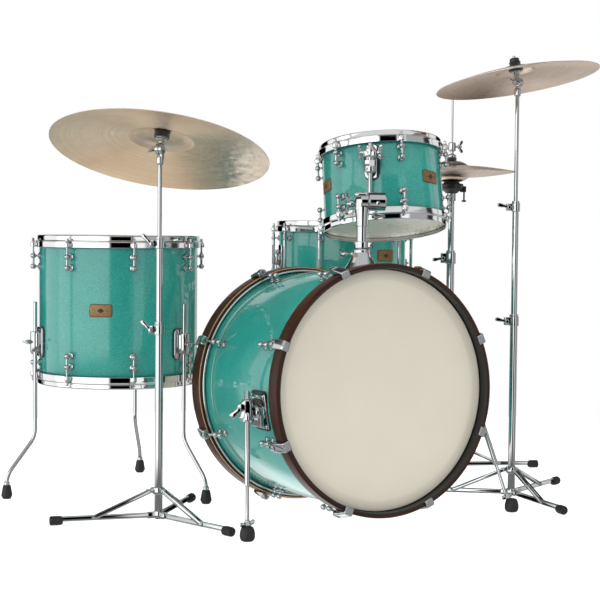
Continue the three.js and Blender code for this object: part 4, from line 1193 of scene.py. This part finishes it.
def channel_leg(shape, start, end, height, width):
    """A pressed leg: a flat bar with rounded ends and rolled rims, along X."""
    half = height / 2
    outline = []
    for k in range(7):
        turn = math.pi / 2 + math.pi * k / 6
        outline.append((start + half * math.cos(turn), half * math.sin(turn)))
    for k in range(7):
        turn = -math.pi / 2 + math.pi * k / 6
        outline.append((end + half * math.cos(turn), half * math.sin(turn)))
    prism(shape, outline, -width / 2, width / 2, spin(90, "X"), 1.5, 3)
    for y in (width / 2, -width / 2):
        for z in (half - 1.2, 1.2 - half):
            bar(shape, (start + 8, y, z), (end - 4, y, z), 1.1, IDENTITY, 8, 0.3)


def pressed_leg(length):
    """A stand's leg with its two rivets, along X from its pivot. length runs to the end of its boot."""
    leg = Shape()
    channel_leg(leg, 0, length - TRIPOD.in_boot, *TRIPOD.bar)
    rivet(leg, IDENTITY, 3.2)
    rivet(leg, shift(TRIPOD.brace_at, 0, 0), 6.2)
    return leg


def brace_bars(shape, matrix):
    """The two flat bars of a brace, along X from its pivot on the collar."""
    length = math.hypot(TRIPOD.brace_up, TRIPOD.brace_at)
    half, thick = TRIPOD.fork_half, TRIPOD.fork_plate
    outline = softened([(-5, -half), (length + 5, -half), (length + 5, half), (-5, half)], 4.4, True, 4)
    for y in (TRIPOD.fork, -TRIPOD.fork):
        prism(shape, outline, y - thick, y + thick, matrix @ spin(90, "X"), 0.7)


def build_tripod(data, base_place):
    """The three folding legs of a cymbal stand, their boots and their braces."""
    name = data.name
    for index in range(data.leg_count):
        tag = f"{name}_leg_{index + 1}"
        pivot = hinge(f"{tag}_fold")
        out = pivot - base_place.translation
        turn = Matrix.Rotation(math.atan2(out.y, out.x), 4, "Z")
        here = Matrix.Translation(pivot) @ turn
        leg, boot = pressed_leg(TRIPOD.leg), Shape()
        boot_shape(boot, shift(TRIPOD.leg, 0, -3))
        piece(f"{tag}_bar", tag, leg, "chrome_hardware", here, [tag])
        piece(f"{tag}_boot", tag, boot, "rubber", here)
        brace_tag = f"{name}_brace_{index + 1}"
        pivot = hinge(f"{brace_tag}_fold")
        drop = math.atan2(TRIPOD.brace_up, TRIPOD.brace_at)
        here = Matrix.Translation(pivot) @ turn @ Matrix.Rotation(drop, 4, "Y")
        brace = Shape()
        brace_bars(brace, IDENTITY)
        block(brace, (12, -4, -3.6), (26, 4, 3.6), IDENTITY, 0.8, 1)
        rivet(brace, IDENTITY, 6.2, 3)
        piece(f"{brace_tag}_fork", brace_tag, brace, "chrome_hardware", here, [brace_tag])


def build_hub(shape, data, base_place):
    """The hub under a stand: a cast ring with ears for three legs."""
    hub, reach = TRIPOD.hub, TRIPOD.pivot + 7
    for index in range(data.leg_count):
        pivot = hinge(f"{data.name}_leg_{index + 1}_fold")
        out = pivot - base_place.translation
        turn = spin(heading(out))
        for y in (5, -5):
            block(shape, (6, y - 1.4, hub - 7), (reach, y + 1.4, hub + 7), turn, 0.8, 1.2)
    pipe(shape, 12, 8.9, hub - 6, hub + 9, IDENTITY, 32, 1.2)


def build_stand(data):
    """A cymbal stand: base tube, middle tube, collar, tripod, tilter and cymbal."""
    name = data.name
    pivot = hinge(f"{name}_tilt")
    place = Matrix.Translation((pivot.x, pivot.y, 0))
    low, high = data.tiers
    base, mid, cap = Shape(), Shape(), Shape()
    pipe(base, STAND.base, STAND.mid + 0.2, TRIPOD.hub - 2, low - 5, IDENTITY, 32, 0.8)
    tube_clamp(base, 12.4, low - STAND.clamp, low, STAND.clamp_turn, data.lever)
    pipe(base, 11.2, 8, low - 1, low + 6, IDENTITY, 28, 1)
    build_hub(base, data, place)
    drum_post(cap, 8.6, TRIPOD.hub - 9, TRIPOD.hub + 2, IDENTITY, 24, 1.5)
    piece(f"{name}_base_tube", "kit", base, "chrome_hardware", place, [f"{name}_stand_base"])
    piece(f"{name}_base_plug", "kit", cap, "rubber", place)
    pipe(mid, STAND.mid, STAND.rod + 0.2, low - STAND.in_base, high - 5, IDENTITY, 28, 0.8)
    tube_clamp(mid, 11, high - STAND.clamp + 2, high, STAND.clamp_turn, data.lever)
    pipe(mid, 9.4, 6, high - 1, high + 5, IDENTITY, 28, 1)
    piece(f"{name}_mid_tube_bar", f"{name}_mid", mid, "chrome_hardware", place, [f"{name}_mid_tube"])
    build_collar(data, place)
    build_tripod(data, place)
    build_top(data, high)


def build_collar(data, place):
    """The sliding collar that carries the braces, with its wing screw."""
    name = data.name
    shape = Shape()
    up = TRIPOD.hub + TRIPOD.brace_up
    pipe(shape, 13.4, 9.8, up - 8, up + 8, IDENTITY, 32, 1.6)
    turns = []
    for index in range(data.leg_count):
        out = hinge(f"{name}_brace_{index + 1}_fold") - place.translation
        turns.append(heading(out))
        block(shape, (10, -3, up - 5), (TRIPOD.pivot + 4, 3, up + 5), spin(turns[-1]), 1.2, 1.5)
    screw = spin(turns[0] + 60) @ shift(15.8, 0, up)
    wing_bolt(shape, screw @ spin(90, "Y") @ spin(90), 0.2, 30)
    piece(f"{name}_collar_ring", f"{name}_collar", shape, "chrome_hardware", place, [f"{name}_collar"])


TILT_DISC = [(0, 0.5), (12.8, 0.5), (12.8, 7.5), (11, 9), (0, 9)]


def build_top(data, high):
    """The top rod, the tilter and the cymbal on it, each in its own frame at the tilt's pivot."""
    name = data.name
    pivot = hinge(f"{name}_tilt")
    axle = Vector(JOINTS[f"{name}_tilt"]["axis"])
    towards = Vector((-axle.y, axle.x, 0))
    forward = math.atan2(-towards.y, -towards.x)
    across = Matrix.Translation(pivot) @ Matrix.Rotation(forward, 4, "Z")
    build_top_rod(name, across, high - STAND.in_mid - pivot.z / MM)
    up = Vector(JOINTS[f"{name}_cymbal_turn"]["axis"]).normalized()
    side = Vector((math.cos(forward), math.sin(forward), 0))
    back = up.cross(side).normalized()
    side = back.cross(up)
    lean = Matrix.Translation(pivot) @ Matrix((
        (side.x, back.x, up.x, 0), (side.y, back.y, up.y, 0), (side.z, back.z, up.z, 0), (0, 0, 0, 1)))
    build_tilter(name, lean)
    build_seat(name, lean)
    square = lean @ shift(0, 0, STAND.cymbal * MM) @ Matrix.Rotation(-forward, 4, "Z")
    build_cymbal(data, f"{name}_cymbal", f"{name}_cymbal", square)


def build_top_rod(name, place, low):
    """The top rod with its half of the tilt disc."""
    rod = Shape()
    drum_post(rod, STAND.rod, low, -15, IDENTITY, 24, 0.8)
    turned(rod, [(0, -36), (7.4, -36), (8.4, -32), (8.4, -19), (6.5, -14), (0, -14)], IDENTITY, 28, 1)
    block(rod, (-6, -8.4, -22), (6, -1.2, 0), IDENTITY, 1.2, 2)
    turned(rod, TILT_DISC, spin(90, "X"), 36, 1)
    piece(f"{name}_rod_bar", f"{name}_rod", rod, "chrome_hardware", place, [f"{name}_top_rod"])


def build_tilter(name, place):
    """The tilter: a toothed disc with its wing bolt, and the post that the cymbal sits on."""
    tilter, seat = Shape(), STAND.seat
    turned(tilter, TILT_DISC, spin(-90, "X"), 36, 1)
    for k in range(36):
        tooth = spin(10 * k, "Y")
        bar(tilter, tooth @ Vector((9.5, 0.3, 0)), tooth @ Vector((12.6, 0.3, 0)), 0.5, IDENTITY, 6, 0.1)
    wing_bolt(tilter, spin(-90, "X") @ shift(0, 0, 8) @ spin(-35), 2, 42, 5)
    block(tilter, (-6, 1, 0), (6, 8, 22), IDENTITY, 1.4, 2)
    turned(tilter, [(0, 14), (6.5, 14), (7.2, 18), (7.2, 24), (14, 25.5), (14, seat), (0, seat)],
           IDENTITY, 32, 1)
    drum_post(tilter, 3.6, 20, STAND.top + 2, IDENTITY, 16, 0.8)
    piece(f"{name}_tilter_casting", f"{name}_tilter", tilter, "chrome_hardware", place, [f"{name}_tilter"])


def build_seat(name, place):
    """The felts on both sides of the cymbal, and the sleeve with its topper."""
    felts, sleeve = Shape(), Shape()
    seat, plate, nut = STAND.seat, STAND.cymbal, STAND.nut
    topper = [(3.8, -1), (15, -1), (15, 1), (12.5, 2.5), (12.5, 9), (10, 12), (3.8, 12)]
    turned(sleeve, [(radius, nut + z) for radius, z in topper], IDENTITY, 30, 1)
    for low, top, radius in ((seat + 0.2, plate - 0.8, 18.5), (plate + 2.2, nut - 1.2, 14.2)):
        pipe(felts, radius, 4.2, low, top, IDENTITY, 32, 1.4, 3)
    pipe(sleeve, 5.6, 3.8, seat, nut, IDENTITY, 20)
    piece(f"{name}_felts", f"{name}_tilter", felts, "felt", place)
    piece(f"{name}_sleeve", f"{name}_tilter", sleeve, "black_plastic", place)


# ---------------------------------------------------------------- hi-hat
def fixed_legs(shape, boots, angles, tube, length):
    """A low tripod that stays open: legs with rivets, braces and their collars."""
    hub, up = TRIPOD.hub, TRIPOD.hub + TRIPOD.brace_up
    for angle in angles:
        way = spin(angle) @ shift(TRIPOD.pivot, 0, hub)
        leg = pressed_leg(length)
        shape.add(leg.verts, leg.faces, way)
        boot_shape(boots, way @ shift(length, 0, -3))
        drop = math.degrees(math.atan2(TRIPOD.brace_up, TRIPOD.brace_at))
        brace_bars(shape, way @ shift(0, 0, TRIPOD.brace_up) @ spin(drop, "Y"))
        block(shape, (tube - 1, -3, up - 5), (TRIPOD.pivot + 4, 3, up + 5), spin(angle), 1, 1.5)
        block(shape, (tube - 1, -6.4, hub - 6), (TRIPOD.pivot + 6, 6.4, hub + 6), spin(angle), 1.2, 2)
    pipe(shape, tube + 3.6, tube - 0.5, up - 9, up + 9, IDENTITY, 32, 1.6)
    pipe(shape, tube + 3.2, tube - 0.5, hub - 6, hub + 9, IDENTITY, 32, 1.2)
    wing_bolt(shape, shift(0, 0, up) @ spin(angles[0] + 60) @ shift(tube + 2, 0, 0) @ spin(90, "Y"), 4, 30)


def build_hihat():
    """The hi-hat stand with its pedal and its two cymbals."""
    axis = centre_of("hihat_upper_tube")
    place = Matrix.Translation((axis.x, axis.y, 0))
    build_hat_base(place)
    build_hat_seat(place)
    build_hat_rod(place)
    build_cymbal(HAT, "hihat_bottom_cymbal", "hihat_upper", place @ shift(0, 0, HAT.bottom * MM), -1)
    build_cymbal(HAT, "hihat_top_cymbal", "hihat_rod", place @ shift(0, 0, HAT.top * MM))
    build_pedal(place)


def build_hat_base(place):
    """The two-legged base with its clamp, and the bars and plates under the pedal."""
    base, boots = Shape(), Shape()
    fixed_legs(base, boots, HAT.legs, HAT.base, HAT.leg_length)
    pipe(base, HAT.base, HAT.upper + 0.3, 6, HAT.clamp_high - 8, IDENTITY, 32, 0.8)
    tube_clamp(base, 15, HAT.clamp_low, HAT.clamp_high - 6, STAND.clamp_turn, 10)
    pipe(base, 12.4, 9, HAT.clamp_high - 8, HAT.clamp_high, IDENTITY, 28, 1)
    heel = (hinge("hihat_pedal_hinge") - place.translation).to_2d().length / MM
    way = spin(HAT.pedal)
    for side in (1, -1):
        bar(base, (8, side * 26, 3), (heel + 10, side * 30, 3), 2.8, way, 12)
    block(base, (-10, -31, 0.3), (14, 31, 5), way, 1.5, 6)
    block(base, (heel - 14, -41, 0), (heel + 26, 41, 16), way, 3, 8)
    piece("hihat_base_stand", "kit", base, "chrome_hardware", place, ["hihat_base"])
    piece("hihat_boots", "kit", boots, "rubber", place)


def build_hat_seat(place):
    """The upper tube with the cup and the felt under the bottom cymbal."""
    upper, cup, ring = Shape(), Shape(), Shape()
    low, top = HAT.seat_low, HAT.seat_top
    pipe(upper, HAT.upper, 6, HAT.upper_low, HAT.neck, IDENTITY, 30, 0.8)
    pipe(upper, 12.4, 6, HAT.neck - 10, low + 2, IDENTITY, 30, 1.6)
    turned(cup, [(6.5, low), (16, low), (20, low + 4), (33.5, top - 15), (34, top - 3), (31, top - 1),
                 (6.5, top - 1)], IDENTITY, 44, 2)
    hat_seat_screw(cup)
    turned(ring, [(7, top - 1), (24, top - 1), (22, top + 3), (7, top + 3.4)], IDENTITY, 32, 1.2)
    piece("hihat_upper_bar", "hihat_upper", upper, "chrome_hardware", place, ["hihat_upper_tube"])
    piece("hihat_seat_cup", "hihat_upper", cup, "black_plastic", place)
    piece("hihat_seat_felt", "hihat_upper", ring, "felt", place)


def hat_seat_screw(shape):
    """The screw that tilts the bottom hat's seat, hanging at the cup's side."""
    away, low = spin(HAT.screw_turn), HAT.seat_low
    block(shape, (24, -6, low + 4), (42, 6, HAT.seat_top - 8), away, 2, 3)
    drum_post(shape, 2.4, low - 22, low + 8, away @ shift(36, 0, 0), 12, 0.4)
    drum_post(shape, 6.5, low - 24, low - 19, away @ shift(36, 0, 0), 18, 1.2)


def build_hat_rod(place):
    """The pull rod, the clutch with its wing screw, and the clutch felts."""
    rod, felts = Shape(), Shape()
    plate = HAT.top
    drum_post(rod, HAT.rod, HAT.rod_low, HAT.rod_top, IDENTITY, 16, 0.8)
    low, top = HAT.clutch_low, HAT.clutch_top
    turned(rod, [(0, low + 13), (9.5, low + 13), (10.5, low + 15), (10.5, top - 2), (8, top), (0, top)],
           IDENTITY, 30, 1)
    drum_post(rod, 5.2, low + 4, low + 13, IDENTITY, 18, 0.6, 3)
    turned(rod, [(0, low - 5), (12.5, low - 5), (12.5, low + 1), (8.5, low + 4.5), (0, low + 4.5)],
           IDENTITY, 30, 1.4)
    drum_post(rod, 5.4, plate - 18, low, IDENTITY, 18, 0.5)
    drum_post(rod, 12, plate - 18, plate - 11, IDENTITY, 28, 1.2, 3)
    away = spin(HAT.screw_turn)
    wing_bolt(rod, away @ shift(9, 0, low + 26) @ spin(90, "Y"), 7, 36, 6)
    for radius, under, over in ((13.5, plate + 2.2, low - 5.2), (13, plate - 10.8, plate - 1)):
        pipe(felts, radius, 5.6, under, over, IDENTITY, 30, 1.2, 3)
    piece("hihat_rod_bar", "hihat_rod", rod, "chrome_hardware", place, ["hihat_pull_rod"])
    piece("hihat_clutch_felts", "hihat_rod", felts, "felt", place)


def build_pedal(place):
    """The footboard with its ribs and its hinge at the heel."""
    heel = hinge("hihat_pedal_hinge")
    axis_point = Vector((place.translation.x, place.translation.y, 0))
    inward = axis_point - Vector((heel.x, heel.y, 0))
    turn = math.atan2(inward.y, inward.x)
    rise = math.atan2(PEDAL.rise, PEDAL.run)
    here = Matrix.Translation(heel) @ Matrix.Rotation(turn, 4, "Z") @ Matrix.Rotation(-rise, 4, "Y")
    run = math.hypot(PEDAL.run, PEDAL.rise)
    board = Shape()
    outline = [(-4, -30), (run * 0.35, -37), (run - 26, -36), (run, -22), (run, 22), (run - 26, 36),
               (run * 0.35, 37), (-4, 30)]
    prism(board, softened(outline, 14, True, 6), -2.6, 1.4, IDENTITY, 1.2)
    for k in range(PEDAL.ribs):
        x = PEDAL.first_rib + k * PEDAL.rib_step
        bar(board, (x, -24, 1.2), (x, 24, 1.2), 1.8, IDENTITY, 10, 0.8)
    drum_post(board, 6, -36, 36, spin(90, "X"), 22, 1.2)
    piece("hihat_footboard", "hihat_pedal", board, "chrome_hardware", here, ["hihat_pedal"])


# ---------------------------------------------------------------- snare stand
def build_snare_stand():
    """The snare's tripod, its post and the basket with three arms."""
    pivot = hinge("snare_basket_tilt")
    place = Matrix.Translation((pivot.x, pivot.y, 0))
    base, boots = Shape(), Shape()
    fixed_legs(base, boots, SNARE_STAND.legs, SNARE_STAND.base, SNARE_STAND.leg_length)
    top = SNARE_STAND.base_top
    pipe(base, SNARE_STAND.base, SNARE_STAND.post + 0.4, TRIPOD.hub, top - 8, IDENTITY, 32, 0.8)
    tube_clamp(base, 16, top - 26, top, 0, -60)
    piece("snare_stand_legs", "kit", base, "chrome_hardware", place, ["snare_stand_base"])
    piece("snare_stand_boots", "kit", boots, "rubber", place)
    tilt = shift(0, 0, pivot.z / MM) @ spin(90, "Y")
    build_snare_post(place, tilt, pivot.z / MM)
    build_basket(place, tilt, pivot.z / MM)


def build_snare_post(place, tilt, hinge_z):
    """The sliding post with its half of the tilt joint."""
    post = Shape()
    drum_post(post, SNARE_STAND.post, SNARE_STAND.post_low, hinge_z - 18, IDENTITY, 28, 1)
    block(post, (-13, -8, hinge_z - 30), (-2, 8, hinge_z - 2), IDENTITY, 1.5, 2)
    drum_post(post, 16, -14, -0.6, tilt, 36, 1.4, 3)
    wing_bolt(post, shift(-13, 0, hinge_z) @ spin(-90, "Y"), 2, 38, 4)
    piece("snare_stand_post_bar", "snare_post", post, "chrome_hardware", place, ["snare_stand_post"])


def build_basket(place, tilt, hinge_z):
    """The basket's hub and its three arms with rubber tips."""
    basket, tips = Shape(), Shape()
    drum_post(basket, 16, 0.6, 14, tilt, 36, 1.4, 3)
    block(basket, (1.5, -9, hinge_z), (14, 9, hinge_z + 30), IDENTITY, 1.5, 2)
    turned(basket, [(0, hinge_z + 20), (17, hinge_z + 20), (20, hinge_z + 25), (20, hinge_z + 38),
                    (16, hinge_z + 42), (0, hinge_z + 42)], IDENTITY, 36, 1.6)
    reach, low, high = SNARE_STAND.arm_reach, SNARE_STAND.arm_z, SNARE_STAND.arm_top
    for angle in SNARE_STAND.arms:
        way = spin(angle)
        path = bent([(8, 0, hinge_z + 34), (reach, 0, low), (reach, 0, high)], 13, 8)
        sweep(basket, path, SNARE_STAND.arm, way, 16, 1)
        grip = [(0, low + 4), (7, low + 4), (7.6, low + 10), (7, high), (0, high + 1)]
        turned(tips, grip, way @ shift(reach, 0, 0), 20, 1.5)
    piece("snare_basket_arms", "snare", basket, "chrome_hardware", place, ["snare_stand_basket"])
    piece("snare_basket_tips", "snare", tips, "rubber", place)


def build_kit():
    build_bass()
    build_spur(-1, "spur_left")
    build_spur(1, "spur_right")
    build_holder()
    rack_place = build_tom(RACK, "rack_tom", ("rack_batter_hoop", "rack_resonant_hoop"))
    for index, (turn, z) in enumerate(BADGES.rack):
        build_badge(RACK, "rack_tom", rack_place, turn, z, f"rack_badge_{index + 1}")
    floor_place = build_tom(FLOOR, "kit", ("floor_batter_hoop", "floor_resonant_hoop"))
    build_badge(FLOOR, "kit", floor_place, *BADGES.floor, "floor_badge")
    build_floor_legs(floor_place)
    build_snare()
    snare_place = drum_frame("snare_batter_hoop", "snare_resonant_hoop")
    build_badge(SNARE, "snare", snare_place, *BADGES.snare, "snare_badge")
    build_snare_stand()
    build_hihat()
    build_stand(RIDE)
    build_stand(CRASH)


# ---------------------------------------------------------------- studio
def build_camera():
    """The camera at the height, distance and angle that the object is seen from."""
    data = bpy.data.cameras.new("camera")
    data.lens = CAMERA.lens
    data.sensor_width = 36
    data.clip_end = 200
    camera = bpy.data.objects.new("camera", data)
    yaw, pitch = math.radians(CAMERA.yaw), math.radians(CAMERA.pitch)
    ahead = Vector((math.sin(yaw) * math.cos(pitch), math.cos(yaw) * math.cos(pitch), -math.sin(pitch)))
    turn = ahead.to_track_quat("-Z", "Y").to_matrix().to_4x4()
    camera.matrix_world = (Matrix.Translation(CAMERA.place) @ turn
                           @ Matrix.Rotation(math.radians(CAMERA.roll), 4, "Z"))
    bpy.context.scene.collection.objects.link(camera)
    bpy.context.scene.camera = camera


def build_floor():
    """A pale round floor, bright enough to melt into the white background, with faint contact shadows."""
    mesh = bpy.data.meshes.new("studio_floor")
    count, radius, drop = 96, STUDIO_FLOOR.radius, STUDIO_FLOOR.drop
    turns = [2 * math.pi * k / count for k in range(count)]
    mesh.from_pydata([(radius * math.cos(turn), radius * math.sin(turn), drop) for turn in turns], [],
                     [list(range(count))])
    material, tree, shader, place = new_material(
        "studio_floor", Specular_IOR_Level=0.0, Emission_Strength=0.96)
    grain = noise(tree, place, 3.0, 4.0)
    pale = mixed(tree, grain, (0.46, 0.46, 0.46, 1), (0.5, 0.5, 0.5, 1))
    glow = mixed(tree, grain, (0.98, 0.98, 0.98, 1), (1, 1, 1, 1))
    rough = grey_ramp(tree, grain, [(0.3, 0.8), (0.7, 0.9)])
    wire(tree, shader, Base_Color=pale, Emission_Color=glow, Roughness=rough)
    mesh.materials.append(material)
    floor = bpy.data.objects.new("studio_floor", mesh)
    floor.visible_glossy = False
    bpy.context.scene.collection.objects.link(floor)


def area_light(name, place, target, size, power):
    """A soft rectangular light, which mirrors don't show."""
    data = bpy.data.lights.new(name, "AREA")
    data.shape = "RECTANGLE"
    data.size, data.size_y = size
    data.energy = power
    light = bpy.data.objects.new(name, data)
    ahead = Vector(target) - Vector(place)
    light.matrix_world = Matrix.Translation(place) @ ahead.to_track_quat("-Z", "Y").to_matrix().to_4x4()
    light.visible_glossy = False
    bpy.context.scene.collection.objects.link(light)


def room_direction(tree):
    """The turn about Z, from 0 to 1 with 0.5 behind the camera, and the height from -1 to 1."""
    direction = node(tree, "SeparateXYZ", {"Vector": node(tree, "TexCoord").outputs["Generated"]})
    x, y, z = direction.outputs
    turn = maths(tree, "DIVIDE", maths(tree, "ARCTAN2", x, y), -2 * math.pi)
    turn = maths(tree, "FRACT", maths(tree, "ADD", turn, 1 + CAMERA.yaw / 360))
    return turn, z


def room_shade(tree, turn, z):
    """How bright the room is in each direction: walls in panels, a ceiling and the ground."""
    stops = [(0.0, PANELS[0][1])]
    for (end, shade), (_, following) in zip(PANELS, PANELS[1:]):
        at = 0.5 + end / 360
        stops += [(at - 0.006, shade), (at + 0.006, following)]
    walls = grey_ramp(tree, turn, stops + [(1.0, PANELS[-1][1])])
    height = maths(tree, "ADD", maths(tree, "MULTIPLY", z, 0.5), 0.5)
    above = grey_ramp(tree, height, [(0.0, 0.0), (0.69, 0.0), (0.71, 1.0), (1.0, 1.0)])
    below = grey_ramp(tree, height, [(0.0, 1.0), (0.34, 1.0), (0.38, 0.0), (1.0, 0.0)])
    ceiling = grey_ramp(tree, turn, [
        (0.0, 0.03), (0.2, 0.03), (0.32, 0.36), (0.68, 0.36), (0.8, 0.03), (1.0, 0.03)])
    ground = grey_ramp(tree, height, [(0.0, 0.62), (0.24, 0.62), (0.3, 0.3), (1.0, 0.2)])
    fade = grey_ramp(tree, turn, [
        (0.0, 0.66), (0.03, 1.1), (0.07, 1.1), (0.1, 0.38), (0.95, 0.38), (1.0, 0.66)])
    ground = maths(tree, "MULTIPLY", ground, fade)
    return mixed(tree, below, mixed(tree, above, walls, ceiling), ground)


def build_world():
    """Soft light for matt surfaces, a dark room with bright panels for mirrors, plain white behind."""
    world = bpy.data.worlds.new("studio")
    bpy.context.scene.world = world
    world.use_nodes = True
    tree = world.node_tree
    tree.nodes.clear()
    shade = room_shade(tree, *room_direction(tree))
    room = node(tree, "Background", {"Color": shade, "Strength": 2.6})
    soft = node(tree, "Background", {"Color": (0.98, 0.99, 1, 1), "Strength": 0.55})
    plain = node(tree, "Background", {"Color": (1, 1, 1, 1), "Strength": 1.0})
    ray = node(tree, "LightPath")
    lit = node(tree, "MixShader", {0: ray.outputs["Is Diffuse Ray"], 1: room.outputs[0], 2: soft.outputs[0]})
    both = node(tree, "MixShader", {0: ray.outputs["Is Camera Ray"], 1: lit.outputs[0], 2: plain.outputs[0]})
    out = node(tree, "OutputWorld", {"Surface": both.outputs[0]})
    out.is_active_output = True


def build_studio():
    build_camera()
    build_floor()
    build_world()
    area_light("key", (-3.2, -3.6, 3.4), (0, 0, 0.5), (2.4, 2.0), 38)
    area_light("side", (3.4, -2.6, 2.2), (0.1, 0, 0.6), (1.2, 2.2), 24)
    area_light("top", (0.0, 0.2, 4.2), (0, 0, 0.5), (4.0, 3.0), 104)
    view = bpy.context.scene.view_settings
    view.view_transform = "Standard"
    view.look = "None"


build_studio()
build_kit()
